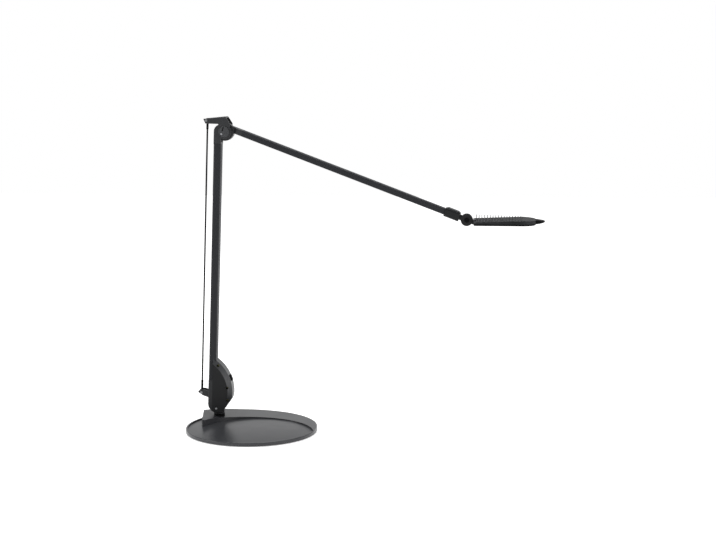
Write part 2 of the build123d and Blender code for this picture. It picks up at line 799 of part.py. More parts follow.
with BuildPart() as balance_spring:
    with BuildSketch(spring_plane.offset(spring_coil_gap)):
        Circle(spring_radius)
        Circle(spring_radius - spring_wire, mode=Mode.SUBTRACT)
    extrude(amount=coil_length)
    for centre in (crank, spring_anchor):
        ring(lower_plane, centre, hook_bore + spring_wire, hook_bore, -spring_wire / 2, spring_wire / 2)
    for low in (hook_bore + spring_wire / 2, spring_coil_gap + coil_length):
        with BuildSketch(spring_plane.offset(low)):
            Circle(spring_shank_radius)
        extrude(amount=spring_coil_gap - hook_bore - spring_wire / 2)
    for height in (spring_coil_gap, spring_coil_gap + coil_length - spring_wire):
        with BuildSketch(spring_plane.offset(height)):
            Circle(spring_radius)
        extrude(amount=spring_wire)
finish(balance_spring, "balance_spring")

# ======================================================================= power button
with BuildPart() as power_button:
    button_height = button_flange_top + button_proud
    plug(button_plane.offset(-button_flange_top), button_width, button_length, button_round, button_height)
    fillet(power_button.faces().sort_by(Axis(button_plane.origin, button_out))[-1].edges(), button_crown_round)
    flange_size = (button_width + 2 * button_lip, button_length + 2 * button_lip)
    plug(button_plane.offset(-button_flange_top), flange_size[0], flange_size[1], button_round, -button_flange)
    with BuildSketch(button_plane.offset(-button_stem_end)):
        Circle(button_stem_radius)
    extrude(amount=button_stem_end - button_flange_top)
finish(power_button, "power_button")

with BuildPart() as switch_board:
    with BuildSketch(button_plane.offset(board_top)):
        Rectangle(2 * (inner_half - body_gap), board_length)
    extrude(amount=-board_thickness)
    with BuildSketch(button_plane.offset(board_top)):
        Rectangle(switch_size, switch_size)
    extrude(amount=switch_height - switch_plunger)
    with BuildSketch(button_plane.offset(board_top)):
        Circle(switch_plunger_radius)
    extrude(amount=switch_height)
finish(switch_board, "switch_board")

# ======================================================================= balance lever
with BuildPart() as balance_lever:
    with BuildSketch(lower_plane.offset(-lever_outer)) as lever_outline:
        with BuildLine():
            Polyline(
                (0, lever_hub),
                lever_shoulder,
                lever_crest,
                lever_tip_high,
                lever_tip,
                lever_tip_low,
                lever_waist,
                (0, -lever_hub),
                close=True,
            )
        make_face()
        fillet(lever_outline.vertices().sort_by(Axis.X)[:4], lever_round)
        Circle(lever_hub)
    extrude(amount=2 * lever_outer)
    with BuildSketch(lower_plane.offset(-lever_outer)):
        Circle(lever_hub)
        with Locations(crank):
            Circle(crank_radius)
        make_hull()
    extrude(amount=2 * lever_outer)
    bar(lower_plane, (0, 0), lever_room, -lever_inner, lever_inner, Mode.SUBTRACT)
    with BuildSketch(lower_plane.offset(-lever_outer)):
        with BuildLine():
            Polyline(
                lever_waist,
                lever_web_end,
                (lever_web_end[0], lever_web_end[1] + lever_web),
                (lever_waist[0], lever_waist[1] + lever_web),
                close=True,
            )
        make_face()
    extrude(amount=2 * lever_outer)
    bar(lower_plane, (0, 0), pin_radius + running_fit, -lever_outer, lever_outer, Mode.SUBTRACT)
    bar(lower_plane, crank, spring_pin_radius + running_fit, -lever_outer, lever_outer, Mode.SUBTRACT)
    bar(lower_plane, rod_pin_spot, rod_pin_radius + running_fit, -lever_outer, lever_outer, Mode.SUBTRACT)
finish(balance_lever, "balance_lever")

with BuildPart() as lever_rod_pin:
    bar(lower_plane, rod_pin_spot, rod_pin_radius, -lever_outer, lever_outer)
    both_bars(lower_plane, rod_pin_spot, rivet_head_radius, lever_outer, lever_outer + rivet_head_height)
finish(lever_rod_pin, "lever_rod_pin")

with BuildPart() as crank_pin:
    bar(lower_plane, crank, spring_pin_radius, -lever_outer, lever_outer)
finish(crank_pin, "crank_pin")

# ======================================================================= tie rod
def along_rod(height):
    """Plane across the tie rod, at a height along it from its lower pin."""
    origin = lower_plane.from_local_coords(Vector(rod_pin_spot[0], rod_pin_spot[1] + height, 0))
    return Plane(origin=origin, x_dir=lower_plane.x_dir, z_dir=lower_plane.y_dir)


def rod_sleeve(end, direction, length, bore):
    """Sleeve of the rod, with the eye that turns on its pin."""
    with BuildPart() as solid:
        with BuildSketch(along_rod(end)):
            Circle(sleeve_radius)
        extrude(amount=direction * length)
        centre = (rod_pin_spot[0], rod_pin_spot[1] + end)
        bar(lower_plane, centre, eye_radius, -eye_half, eye_half)
        bar(lower_plane, centre, bore, -eye_half, eye_half, Mode.SUBTRACT)
        with BuildSketch(along_rod(end + direction * rod_start)):
            Circle(rod_radius + running_fit)
        extrude(amount=direction * length, mode=Mode.SUBTRACT)
    return solid.part


with BuildPart() as tie_rod:
    with BuildSketch(along_rod(rod_start)):
        Circle(rod_radius)
    extrude(amount=arm_pitch - 2 * rod_start)
finish(tie_rod, "tie_rod")

with BuildPart() as rod_sleeve_upper:
    add(rod_sleeve(arm_pitch, -1, sleeve_upper, rod_pin_radius + running_fit))
finish(rod_sleeve_upper, "rod_sleeve_upper")

with BuildPart() as rod_sleeve_lower:
    add(rod_sleeve(0, 1, sleeve_lower, rod_pin_radius + open_pivot_gap))
finish(rod_sleeve_lower, "rod_sleeve_lower")

# ======================================================================= upper arm
upper_inside = (upper_thickness - 2 * (upper_wall + seat_gap), upper_depth - 2 * (upper_wall + seat_gap))
upper_low = upper_rise - upper_thickness / 2

with BuildPart() as upper_tube:
    sleeve(across_upper(knuckle_end), upper_thickness, upper_depth, upper_corner, upper_wall, upper_end - knuckle_end)
finish(upper_tube, "upper_tube")

with BuildPart() as elbow_knuckle:
    with BuildSketch(upper_plane.offset(-knuckle_half)):
        Circle(knuckle_radius)
        with Locations((0, upper_low)):
            Rectangle(knuckle_end, upper_thickness, align=Align.MIN)
    extrude(amount=2 * knuckle_half)
    with BuildSketch(across_upper(knuckle_widen)):
        RectangleRounded(upper_thickness, 2 * knuckle_half, upper_corner)
    with BuildSketch(across_upper(knuckle_wide)):
        RectangleRounded(upper_thickness, upper_depth, upper_corner)
    loft(ruled=True)
    plug(across_upper(knuckle_wide), upper_thickness, upper_depth, upper_corner, knuckle_end - knuckle_wide)
    plug(across_upper(knuckle_end), upper_inside[0], upper_inside[1], upper_corner - upper_wall, plug_length)
    bar(upper_plane, (0, 0), pin_radius + running_fit, -knuckle_half, knuckle_half, Mode.SUBTRACT)
finish(elbow_knuckle, "elbow_knuckle")

with BuildPart() as elbow_washers:
    both_rings(
        elbow_plane, (0, 0), elbow_washer_radius, pin_radius + seat_gap, knuckle_half, knuckle_half + washer_thickness
    )
finish(elbow_washers, "elbow_washers")

bracket_outer = bracket_inner + bracket_plate
cap_face = bracket_outer + cap_height

with BuildPart() as balance_bracket:
    with BuildSketch(elbow_plane.offset(-bracket_outer)) as bracket_outline:
        with BuildLine():
            Polyline(
                bracket_tip,
                bracket_top,
                bracket_front,
                (bracket_hub, 0),
                (-bracket_hub, 0),
                (-bracket_hub, bracket_under),
                bracket_tip_low,
                close=True,
            )
        make_face()
        fillet(bracket_outline.vertices().sort_by(Axis.X)[:2], bracket_tip_round)
        fillet(bracket_outline.vertices().sort_by(Axis.Z)[-1], bracket_round)
        Circle(bracket_hub)
    extrude(amount=2 * bracket_outer)
    rise = (bracket_top[1] - bracket_tip[1]) / (bracket_top[0] - bracket_tip[0])
    web_back = (bracket_web_back, bracket_top[1] - (bracket_top[0] - bracket_web_back) * rise - bracket_web)
    web_front = (bracket_top[0], bracket_top[1] - bracket_web)
    with BuildSketch(elbow_plane.offset(-bracket_inner)):
        with BuildLine():
            Polyline(
                (web_back[0], base_radius),
                web_back,
                web_front,
                (base_radius, web_front[1]),
                (base_radius, -base_radius),
                (-base_radius, -base_radius),
                (-base_radius, base_radius),
                close=True,
            )
        make_face()
    extrude(amount=2 * bracket_inner, mode=Mode.SUBTRACT)
    bar(elbow_plane, (0, 0), pin_radius + running_fit, -bracket_outer, bracket_outer, Mode.SUBTRACT)
    bar(elbow_plane, rod_pin_spot, rod_pin_radius + running_fit, -bracket_outer, bracket_outer, Mode.SUBTRACT)
    bar(elbow_plane, hub_screw_spot, hub_screw_radius + running_fit, -bracket_outer, bracket_outer, Mode.SUBTRACT)
finish(balance_bracket, "balance_bracket")

with BuildPart() as hub_screws:
    both_bars(elbow_plane, hub_screw_spot, hub_screw_radius, bracket_inner, cap_face)
    both_bars(elbow_plane, hub_screw_spot, hub_screw_head, cap_face, cap_face + hub_screw_head_height)
finish(hub_screws, "hub_screws")

with BuildPart() as elbow_pin:
    bar(elbow_plane, (0, 0), pin_radius, -bracket_outer, bracket_outer)
finish(elbow_pin, "elbow_pin")

with BuildPart() as hub_caps:
    both_bars(elbow_plane, (0, 0), cap_radius, bracket_outer, cap_face)
    fillet(hub_caps.edges().filter_by(GeomType.CIRCLE).group_by(Axis.Y)[0], cap_round)
    fillet(hub_caps.edges().filter_by(GeomType.CIRCLE).group_by(Axis.Y)[-1], cap_round)
    slot(elbow_plane, cap_slot, cap_slot_radius, cap_face - cap_slot_depth, cap_face, Mode.SUBTRACT)
    slot(elbow_plane, cap_slot, cap_slot_radius, -cap_face, -cap_face + cap_slot_depth, Mode.SUBTRACT)
    both_bars(elbow_plane, hub_screw_spot, hub_screw_radius + running_fit, bracket_outer, cap_face, Mode.SUBTRACT)
finish(hub_caps, "hub_caps")

with BuildPart() as bracket_pin:
    bar(elbow_plane, rod_pin_spot, rod_pin_radius, -bracket_outer, bracket_outer)
    both_bars(elbow_plane, rod_pin_spot, rivet_head_radius, bracket_outer, bracket_outer + rivet_head_height)
finish(bracket_pin, "bracket_pin")

with BuildPart() as rod_spacers:
    spacer_end = bracket_inner - seat_gap
    both_rings(elbow_plane, rod_pin_spot, spacer_radius, rod_pin_radius + seat_gap, eye_half + body_gap, spacer_end)
finish(rod_spacers, "rod_spacers")

# ======================================================================= wrist
with BuildPart() as wrist_sleeve:
    plug(across_upper(sleeve_start), sleeve_thickness, sleeve_depth, sleeve_corner, sleeve_end - sleeve_start)
    fillet(wrist_sleeve.faces().sort_by(Axis.X)[-1].edges(), sleeve_end_round)
    plug(
        across_upper(sleeve_start),
        upper_thickness + 2 * seat_gap,
        upper_depth + 2 * seat_gap,
        upper_corner,
        upper_end - sleeve_start,
        Mode.SUBTRACT,
    )
    bar(across_upper(upper_end), (0, 0), retainer_radius + body_gap, 0, sleeve_floor - upper_end, Mode.SUBTRACT)
    bar(across_upper(0), (0, 0), stem_radius + running_fit, sleeve_floor, sleeve_end, Mode.SUBTRACT)
finish(wrist_sleeve, "wrist_sleeve")

with BuildPart() as sleeve_cap:
    cap_plane = Plane(
        origin=upper_plane.from_local_coords(
            Vector((sleeve_start + sleeve_end) / 2, upper_rise + sleeve_thickness / 2, 0)
        ),
        x_dir=upper_plane.x_dir,
        z_dir=upper_plane.y_dir,
    )
    plug(cap_plane, sleeve_cap_length, sleeve_cap_width, sleeve_cap_corner, sleeve_cap_height)
    fillet(sleeve_cap.faces().sort_by(Axis(cap_plane.origin, cap_plane.z_dir))[-1].edges(), sleeve_cap_round)
finish(sleeve_cap, "sleeve_cap")

with BuildPart() as neck_retainer:
    ring(
        across_upper(0),
        (0, 0),
        retainer_radius,
        stem_radius - stem_step + running_fit,
        sleeve_floor - body_gap - retainer_height,
        sleeve_floor - body_gap,
    )
finish(neck_retainer, "neck_retainer")

with BuildPart() as wrist_neck:
    bar(across_upper(0), (0, 0), stem_radius, sleeve_floor - body_gap, sleeve_end + body_gap)
    bar(across_upper(0), (0, 0), stem_radius - stem_step, sleeve_floor - stem_tail, sleeve_floor - body_gap)
    bar(across_upper(0), (0, 0), neck_radius, sleeve_end + body_gap, neck_collar_end)
    with BuildSketch(upper_plane.offset(-neck_half)):
        with Locations((wrist_reach, upper_rise)):
            Circle(neck_tongue_radius)
        with Locations((sleeve_end + body_gap, upper_rise - neck_radius)):
            Rectangle(wrist_reach - sleeve_end - body_gap, 2 * neck_radius, align=Align.MIN)
    extrude(amount=2 * neck_half)
    bar(head_plane, (0, 0), head_pin_radius + running_fit, -neck_half, neck_half, Mode.SUBTRACT)
finish(wrist_neck, "wrist_neck")

# ======================================================================= head
head_length = head_end - head_start
head_middle = (head_start + head_end) / 2


def head_plan(plane, inset):
    """Plan outline of the head, drawn in all round."""
    with BuildSketch(plane) as outline:
        with Locations((head_middle, 0)):
            Rectangle(head_length, head_width)
        fillet(outline.vertices().group_by(Axis.X)[-1], head_front_corner)
        fillet(outline.vertices().sort_by(Axis.X)[:2], head_rear_corner)
        if inset:
            offset(amount=-inset)
    return outline.sketch


with BuildPart() as head_tray:
    extrude(head_plan(level_plane(head_bottom), 0), amount=tray_height)
    fillet(head_tray.faces().sort_by(Axis.Z)[0].edges(), tray_round)
    extrude(head_plan(level_plane(head_bottom + tray_lip), tray_wall), amount=tray_height, mode=Mode.SUBTRACT)
    extrude(head_plan(level_plane(head_bottom - cut_over), window_margin), amount=tray_height, mode=Mode.SUBTRACT)
finish(head_tray, "head_tray")

with BuildPart() as diffuser:
    extrude(head_plan(level_plane(head_bottom + tray_lip), tray_wall + seat_gap), amount=diffuser_thickness)
finish(diffuser, "diffuser")

with BuildPart() as led_board:
    extrude(head_plan(level_plane(sink_bottom), window_margin), amount=-led_board_thickness)
finish(led_board, "led_board")

with BuildPart() as led_chips:
    with BuildSketch(level_plane(sink_bottom - led_board_thickness)):
        with Locations((head_middle, 0)):
            with GridLocations(led_pitch[0], led_pitch[1], led_columns, led_rows):
                Rectangle(led_size, led_size)
    extrude(amount=-led_height)
finish(led_chips, "led_chips")

fin_fall = (fin_top_rear - fin_top_front) / ((fin_count - 1) * fin_pitch)

with BuildPart() as sink_profile:
    with BuildSketch(head_plane.offset(-head_width / 2)):
        with BuildLine():
            Polyline(
                (head_start, sink_bottom),
                (head_start, sink_top),
                (fin_first - fin_thickness, sink_top),
                (nose_start, nose_top),
                (head_end, nose_end_top),
                (head_end, sink_bottom),
                close=True,
            )
        make_face()
    extrude(amount=head_width)
    for fin in range(fin_count):
        fin_x = fin_first + fin * fin_pitch
        fin_top = fin_top_rear - fin_fall * fin * fin_pitch
        fin_low = (fin_x - fin_thickness / 2, sink_bottom + fin_root)
        fin_high = (fin_x + fin_thickness / 2, fin_top)
        block(head_plane, fin_low, fin_high, fin_margin - head_width / 2, head_width / 2 - fin_margin)

with BuildPart() as heat_sink:
    extrude(head_plan(level_plane(sink_bottom), 0), amount=fin_top_rear - sink_bottom)
    add(sink_profile.part, mode=Mode.INTERSECT)
    for side in (-head_screw_spread, head_screw_spread):
        bar(level_plane(0), (head_screw_x, side), head_screw_radius + running_fit, sink_bottom, sink_top, Mode.SUBTRACT)
finish(heat_sink, "heat_sink")

with BuildPart() as front_tab:
    with BuildSketch(head_plane.offset(-tab_half_width)):
        with BuildLine():
            Polyline(
                (head_end, tab_root_bottom),
                (head_end, nose_end_top),
                (tab_end, tab_tip_top),
                (tab_end, tab_tip_bottom),
            )
            ThreePointArc((tab_end, tab_tip_bottom), tab_belly, (head_end, tab_root_bottom))
        make_face()
    extrude(amount=2 * tab_half_width)
    fillet(front_tab.edges().filter_by(Axis.Z).group_by(Axis.X)[-1], tab_round)
finish(front_tab, "front_tab")

hinge_foot_top = sink_top + hinge_foot_height

with BuildPart() as head_hinge:
    with BuildSketch(head_plane.offset(-hinge_outer)):
        Circle(hinge_radius)
        with Locations((0, head_bottom)):
            Rectangle(head_start, sink_top - head_bottom, align=Align.MIN)
    extrude(amount=2 * hinge_outer)
    block(
        head_plane,
        (-2 * hinge_radius, -2 * hinge_radius),
        (hinge_bar_start, 2 * hinge_radius),
        -hinge_inner,
        hinge_inner,
        Mode.SUBTRACT,
    )
    block(
        head_plane,
        (hinge_bar_start, head_bottom),
        (head_start, hinge_foot_top),
        -hinge_bar_half,
        hinge_bar_half,
    )
    block(
        head_plane,
        (head_start, sink_top),
        (hinge_foot_end, hinge_foot_top),
        -hinge_bar_half,
        hinge_bar_half,
    )
    bar(head_plane, (0, 0), head_pin_radius + running_fit, -hinge_outer, hinge_outer, Mode.SUBTRACT)
    for side in (-head_screw_spread, head_screw_spread):
        bar(level_plane(0), (head_screw_x, side), head_screw_radius + running_fit, sink_top, hinge_foot_top, Mode.SUBTRACT)
finish(head_hinge, "head_hinge")

with BuildPart() as head_screws:
    for side in (-head_screw_spread, head_screw_spread):
        bar(level_plane(0), (head_screw_x, side), head_screw_radius, sink_top - head_screw_depth, hinge_foot_top)
        bar(
            level_plane(0),
            (head_screw_x, side),
            head_screw_head,
            hinge_foot_top,
            hinge_foot_top + head_screw_head_height,
        )
finish(head_screws, "head_screws")

with BuildPart() as head_pin:
    bar(head_plane, (0, 0), head_pin_radius, -hinge_outer, hinge_outer)
    both_bars(head_plane, (0, 0), head_pin_head, hinge_outer, hinge_outer + pin_head_height)
finish(head_pin, "head_pin")
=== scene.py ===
"""The looks of a balanced-arm desk lamp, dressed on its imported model.

Graphite paint on die-castings and drawn tube, moulded black plastic, a black anodised heat sink
and small zinc-plated screws. Sizes are in millimetres until they reach a mesh, which is in metres.
"""

import json
import logging
import math
from dataclasses import dataclass
from enum import Enum

import bmesh
import bpy
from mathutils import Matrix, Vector


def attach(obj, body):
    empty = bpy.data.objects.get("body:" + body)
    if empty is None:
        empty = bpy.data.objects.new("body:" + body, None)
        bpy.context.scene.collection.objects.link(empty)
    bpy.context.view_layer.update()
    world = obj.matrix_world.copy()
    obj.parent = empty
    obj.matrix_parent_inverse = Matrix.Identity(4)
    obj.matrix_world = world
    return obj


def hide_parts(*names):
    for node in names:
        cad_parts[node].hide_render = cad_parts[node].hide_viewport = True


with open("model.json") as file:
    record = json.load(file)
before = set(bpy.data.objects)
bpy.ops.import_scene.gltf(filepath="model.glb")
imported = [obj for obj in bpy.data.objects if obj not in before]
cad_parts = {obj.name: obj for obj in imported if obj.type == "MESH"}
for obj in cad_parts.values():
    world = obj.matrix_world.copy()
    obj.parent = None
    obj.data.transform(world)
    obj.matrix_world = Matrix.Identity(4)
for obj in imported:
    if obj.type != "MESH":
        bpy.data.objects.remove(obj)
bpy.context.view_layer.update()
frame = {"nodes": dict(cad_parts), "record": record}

log = logging.getLogger("lamp")
MM = 0.001
WELD_MM = 0.001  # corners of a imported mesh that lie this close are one
BODIES: dict[str, str] = {
    node: body
    for body, members in frame["record"]["behaviour"]["bodies"].items()
    for node in members
}


# ---------------------------------------------------------------- colour and nodes
def linear(code: str) -> tuple[float, float, float, float]:
    """Turn an sRGB hex colour into the linear colour that a shader takes.

    Args:
        code: Six hex digits after a hash.

    Returns:
        Red, green, blue and an alpha of one.
    """
    digits = code.lstrip("#")
    shares = [int(digits[i : i + 2], 16) / 255 for i in (0, 2, 4)]
    flat = [s / 12.92 if s <= 0.04045 else ((s + 0.055) / 1.055) ** 2.4 for s in shares]
    return flat[0], flat[1], flat[2], 1.0


def add_node(
    tree: bpy.types.NodeTree,
    kind: str,
    values: dict | None = None,
    links: dict | None = None,
    **settings: object,
) -> bpy.types.Node:
    """Add a node to a tree, set it up and link its inputs.

    Args:
        tree: The material's or world's node tree.
        kind: Blender's name of the node type.
        values: Input socket, by name or index, to its value.
        links: Input socket, by name or index, to the output that feeds it.
        **settings: Attributes of the node itself.

    Returns:
        The new node.
    """
    node = tree.nodes.new(kind)
    for name, setting in settings.items():
        setattr(node, name, setting)
    for socket, value in (values or {}).items():
        node.inputs[socket].default_value = value
    for socket, output in (links or {}).items():
        tree.links.new(output, node.inputs[socket])
    return node


class Grain(Enum):
    """How a surface was made, which sets the shape of its fine relief."""

    SPRAYED = "orange peel of a sprayed or powder coat"
    MOULDED = "spark-eroded texture of an injection mould"
    TURNED = "tool marks round a pin that lies across the arms"
    DRAWN = "die lines along an upright rod"
    WOUND = "close turns of upright spring wire"
    CAST = "skin of a sand casting"


# Noise texture settings of the grains without a direction, and of the drawn one.
NOISES: dict[Grain, dict[str, float]] = {
    Grain.SPRAYED: {"Detail": 1.0, "Roughness": 0.4},
    Grain.MOULDED: {"Detail": 4.0, "Roughness": 0.75},
    Grain.CAST: {"Detail": 6.0, "Roughness": 0.65, "Distortion": 0.8},
    Grain.DRAWN: {"Detail": 2.0},
}
# Axis that the bands of the other grains lie across, and their wave texture settings.
WAVES: dict[Grain, tuple[str, dict[str, float]]] = {
    Grain.TURNED: ("Y", {"Distortion": 0.6, "Detail": 1.0}),
    Grain.WOUND: ("Z", {"Distortion": 0.0}),
}
WAVE_RADIANS = 20.0  # a wave texture runs through this many radians per unit of its scale
DRAWN_SQUEEZE = 0.02  # how much slower the noise runs along a drawn rod than round it
MOTTLE_NOISE = {"Detail": 3.0, "Roughness": 0.55}
FINE_SHARE = 0.35  # part that the fine grain plays in the wandering of the colour
MOTTLE_SPAN = (0.3, 0.7)  # noise values at which the rubbed colour starts and is fullest
EDGE_SPAN = (0.995, 0.85)  # cosines between flat and rounded normals, likewise
EDGE_SAMPLES = 4


# ---------------------------------------------------------------- finishes
@dataclass(frozen=True)
class Finish:
    """A surface as its process leaves it: wandering colour, rubbed edges and fine relief."""

    name: str
    colour: str
    rubbed: str
    roughness: float
    specular: float = 0.5
    metallic: float = 0.0
    grain: Grain = Grain.SPRAYED
    grain_mm: float = 0.6
    relief_mm: float = 0.01
    mottle_mm: float = 30.0
    mottle: float = 0.35
    spread: float = 0.06
    rub_mm: float = 0.4
    rub: float = 0.5
    transmission: float = 0.0

    def relief(self, tree: bpy.types.NodeTree, place: bpy.types.NodeSocket) -> bpy.types.NodeSocket:
        """Draw the height pattern that the process leaves.

        Args:
            tree: The material's tree.
            place: Object coordinates in metres.

        Returns:
            The height, from 0 to 1.
        """
        per_metre = 1 / (self.grain_mm * MM)
        if self.grain in WAVES:
            across, settings = WAVES[self.grain]
            values = {"Scale": math.tau * per_metre / WAVE_RADIANS, **settings}
            return add_node(
                tree, "ShaderNodeTexWave", values, {"Vector": place}, bands_direction=across
            ).outputs["Fac"]
        if self.grain is Grain.DRAWN:
            squeeze = {"Scale": Vector((1.0, 1.0, DRAWN_SQUEEZE))}
            place = add_node(
                tree, "ShaderNodeMapping", squeeze, {"Vector": place}
            ).outputs["Vector"]
        values = {"Scale": per_metre, **NOISES[self.grain]}
        return add_node(tree, "ShaderNodeTexNoise", values, {"Vector": place}).outputs["Fac"]

    def rubbed_edges(self, tree: bpy.types.NodeTree) -> bpy.types.NodeSocket:
        """Find the edges that hands and cloths rub.

        Args:
            tree: The material's tree.

        Returns:
            0 on a face and up to the finish's share along an edge.
        """
        flat = add_node(tree, "ShaderNodeNewGeometry").outputs["Normal"]
        rounded = add_node(
            tree, "ShaderNodeBevel", {"Radius": self.rub_mm * MM}, samples=EDGE_SAMPLES
        ).outputs["Normal"]
        facing = add_node(
            tree, "ShaderNodeVectorMath", links={0: flat, 1: rounded}, operation="DOT_PRODUCT"
        ).outputs["Value"]
        return self.span(tree, facing, EDGE_SPAN, (0.0, self.rub))

    def span(
        self,
        tree: bpy.types.NodeTree,
        value: bpy.types.NodeSocket,
        source: tuple[float, float],
        target: tuple[float, float],
    ) -> bpy.types.NodeSocket:
        """Stretch a value from one span to another.

        Args:
            tree: The material's tree.
            value: What is stretched.
            source: Ends of the span that it comes in.
            target: Ends of the span that it leaves in.

        Returns:
            The stretched value.
        """
        ends = {
            "From Min": source[0],
            "From Max": source[1],
            "To Min": target[0],
            "To Max": target[1],
        }
        return add_node(tree, "ShaderNodeMapRange", ends, {"Value": value}).outputs["Result"]

    def material(self) -> bpy.types.Material:
        """Build the material once and hand out the same one after that.

        Returns:
            The Blender material of this finish.
        """
        found = bpy.data.materials.get(self.name)
        if found:
            return found
        made = bpy.data.materials.new(self.name)
        made.use_nodes = True
        tree = made.node_tree
        tree.nodes.clear()
        place = add_node(tree, "ShaderNodeTexCoord").outputs["Object"]
        fine = self.relief(tree, place)
        wander = add_node(
            tree,
            "ShaderNodeTexNoise",
            {"Scale": 1 / (self.mottle_mm * MM), **MOTTLE_NOISE},
            {"Vector": place},
        ).outputs["Fac"]
        both = add_node(
            tree,
            "ShaderNodeMix",
            {"Factor": FINE_SHARE},
            {"A": wander, "B": fine},
            data_type="FLOAT",
        ).outputs["Result"]
        share = add_node(
            tree,
            "ShaderNodeMath",
            links={
                0: self.span(tree, both, MOTTLE_SPAN, (0.0, self.mottle)),
                1: self.rubbed_edges(tree),
            },
            operation="MAXIMUM",
        ).outputs["Value"]
        colour = add_node(
            tree,
            "ShaderNodeMix",
            {"A": linear(self.colour), "B": linear(self.rubbed)},
            {"Factor": share},
            data_type="RGBA",
        ).outputs["Result"]
        glossy, dull = self.roughness - self.spread, self.roughness + self.spread
        gloss = self.span(tree, both, (0.0, 1.0), (glossy, dull))
        depth = {"Strength": 1.0, "Distance": self.relief_mm * MM}
        bump = add_node(tree, "ShaderNodeBump", depth, {"Height": fine}).outputs["Normal"]
        surface = add_node(
            tree,
            "ShaderNodeBsdfPrincipled",
            {
                "Metallic": self.metallic,
                "Specular IOR Level": self.specular,
                "Transmission Weight": self.transmission,
            },
            {"Base Color": colour, "Roughness": gloss, "Normal": bump},
        )
        add_node(tree, "ShaderNodeOutputMaterial", links={"Surface": surface.outputs["BSDF"]})
        return made


# Graphite powder coat on the die-cast base: semi-gloss, so its top takes up the pale room at a
# glancing eye, with the faint orange peel of a sprayed coat.
BASE_PAINT = Finish(
    "graphite_powder_coat", "#343538", "#404145", 0.32, 0.42, grain_mm=0.9, relief_mm=0.008
)
# The same coat on drawn aluminium tube: smoother, duller and a shade darker.
TUBE_PAINT = Finish(
    "graphite_coat_on_tube", "#2c2d30", "#38393c", 0.50, 0.15, grain_mm=0.7, relief_mm=0.004
)
# Charcoal coat on the small zinc castings at the joints, rubbed a little at their corners.
CASTING_PAINT = Finish(
    "charcoal_coat_on_zinc_casting", "#28292b", "#3a3b3e", 0.40, 0.3,
    grain_mm=0.8, relief_mm=0.010, rub=0.7,
)
# Moulded ABS with a spark-eroded skin, on the spring housing, the wrist sleeve and the head's
# hinge: dull, and black beside the painted tube.
HOUSING_PLASTIC = Finish(
    "charcoal_moulded_abs", "#121314", "#212224", 0.42, 0.22,
    grain=Grain.MOULDED, grain_mm=0.45, relief_mm=0.015,
)
# The housing's bevelled front: a paler satin band round the dull sides, its paler colour a painted
# highlight for the sheen of a soft box at the right front.
HOUSING_PAINTED_HIGHLIGHT = Finish(
    "moulded_abs_painted_highlight", "#38393b", "#48494c", 0.38, 0.4,
    grain=Grain.MOULDED, grain_mm=0.45, relief_mm=0.004,
)
# Caps on the hub and the wrist: a paler grey moulding, worn smooth by fingers.
CAP_PLASTIC = Finish(
    "grey_moulded_cap", "#3b3c3e", "#4c4d50", 0.42, 0.35, grain=Grain.MOULDED, relief_mm=0.010
)
# Black moulded nylon of button, collar, rod sleeves, tray and tab: hardly any sheen. The same black
# is laid on the sunk faces of the caps' slots as painted shade.
BLACK_NYLON_AND_PAINTED_SHADE = Finish(
    "black_nylon_and_painted_shade", "#0e0e0f", "#1a1a1c", 0.55, 0.06,
    grain=Grain.MOULDED, grain_mm=0.5, relief_mm=0.012,
)
# Black anodised aluminium: dull metal under a dark dye, brighter where fin tips are rubbed.
SINK_ANODISED = Finish(
    "black_anodised_aluminium", "#161718", "#4a4b4e", 0.55, 0.2, metallic=0.5,
    grain_mm=0.4, relief_mm=0.003, rub=0.8, rub_mm=0.3,
)
# Drawn steel rod under a dull black coat, with die lines along it.
ROD_STEEL = Finish(
    "black_coated_steel_rod", "#0c0c0d", "#161618", 0.62, 0.06,
    grain=Grain.DRAWN, grain_mm=0.3, relief_mm=0.002,
)
# Sawn fin ends: the dye is thinner there, so the cut aluminium shows through as a dull grey.
FIN_ENDS = Finish(
    "sawn_fin_ends", "#5c5d60", "#77787b", 0.5, 0.3, metallic=0.3, grain_mm=0.3, relief_mm=0.003
)
# Spring wire wound turn on turn: each turn of 1.2 mm wire shows as a rounded band.
SPRING_WIRE = Finish(
    "oiled_spring_wire", "#4b4c4e", "#6a6b6e", 0.32, metallic=0.95,
    grain=Grain.WOUND, grain_mm=1.2, relief_mm=0.5, mottle=0.5,
)
# Turned steel pins and nuts: bright ends, tool marks round the shank.
PIN_STEEL = Finish(
    "turned_steel", "#77787a", "#8e8f91", 0.32, metallic=1.0,
    grain=Grain.TURNED, grain_mm=0.25, relief_mm=0.003,
)
# Bright zinc plate on the screws, a little cloudy.
ZINC = Finish(
    "zinc_plated_screw", "#8e8f92", "#b4b5b8", 0.34, metallic=1.0,
    grain=Grain.TURNED, grain_mm=0.25, relief_mm=0.002, mottle=0.6,
)
# Olive passivated screws, dark at the bottom of their deep recesses.
PASSIVATED = Finish(
    "olive_passivated_screw", "#4d4c33", "#6b6a45", 0.38, metallic=0.8,
    grain=Grain.TURNED, grain_mm=0.25, relief_mm=0.002, mottle=0.8,
)
# Black rubber of pad and gland: matt, and powdery where it is handled.
RUBBER = Finish(
    "black_rubber", "#161617", "#242426", 0.78, 0.25,
    grain=Grain.MOULDED, grain_mm=0.5, relief_mm=0.02,
)
# Machined acetal washers: waxy white.
ACETAL = Finish(
    "white_acetal", "#cfcfc9", "#dcdcd6", 0.42, grain=Grain.TURNED, grain_mm=0.4, relief_mm=0.003
)
# Grey iron weight, never seen outside: rough skin from the sand.
CAST_IRON = Finish(
    "sand_cast_iron", "#3a3836", "#4f4a46", 0.7, metallic=0.6,
    grain=Grain.CAST, grain_mm=1.5, relief_mm=0.08,
)
# Opal acrylic sheet: milky, lets light through and hides the chips behind it.
OPAL = Finish(
    "opal_acrylic", "#e3e2dc", "#ecebe6", 0.34, grain=Grain.MOULDED,
    grain_mm=0.6, relief_mm=0.003, transmission=0.25,
)
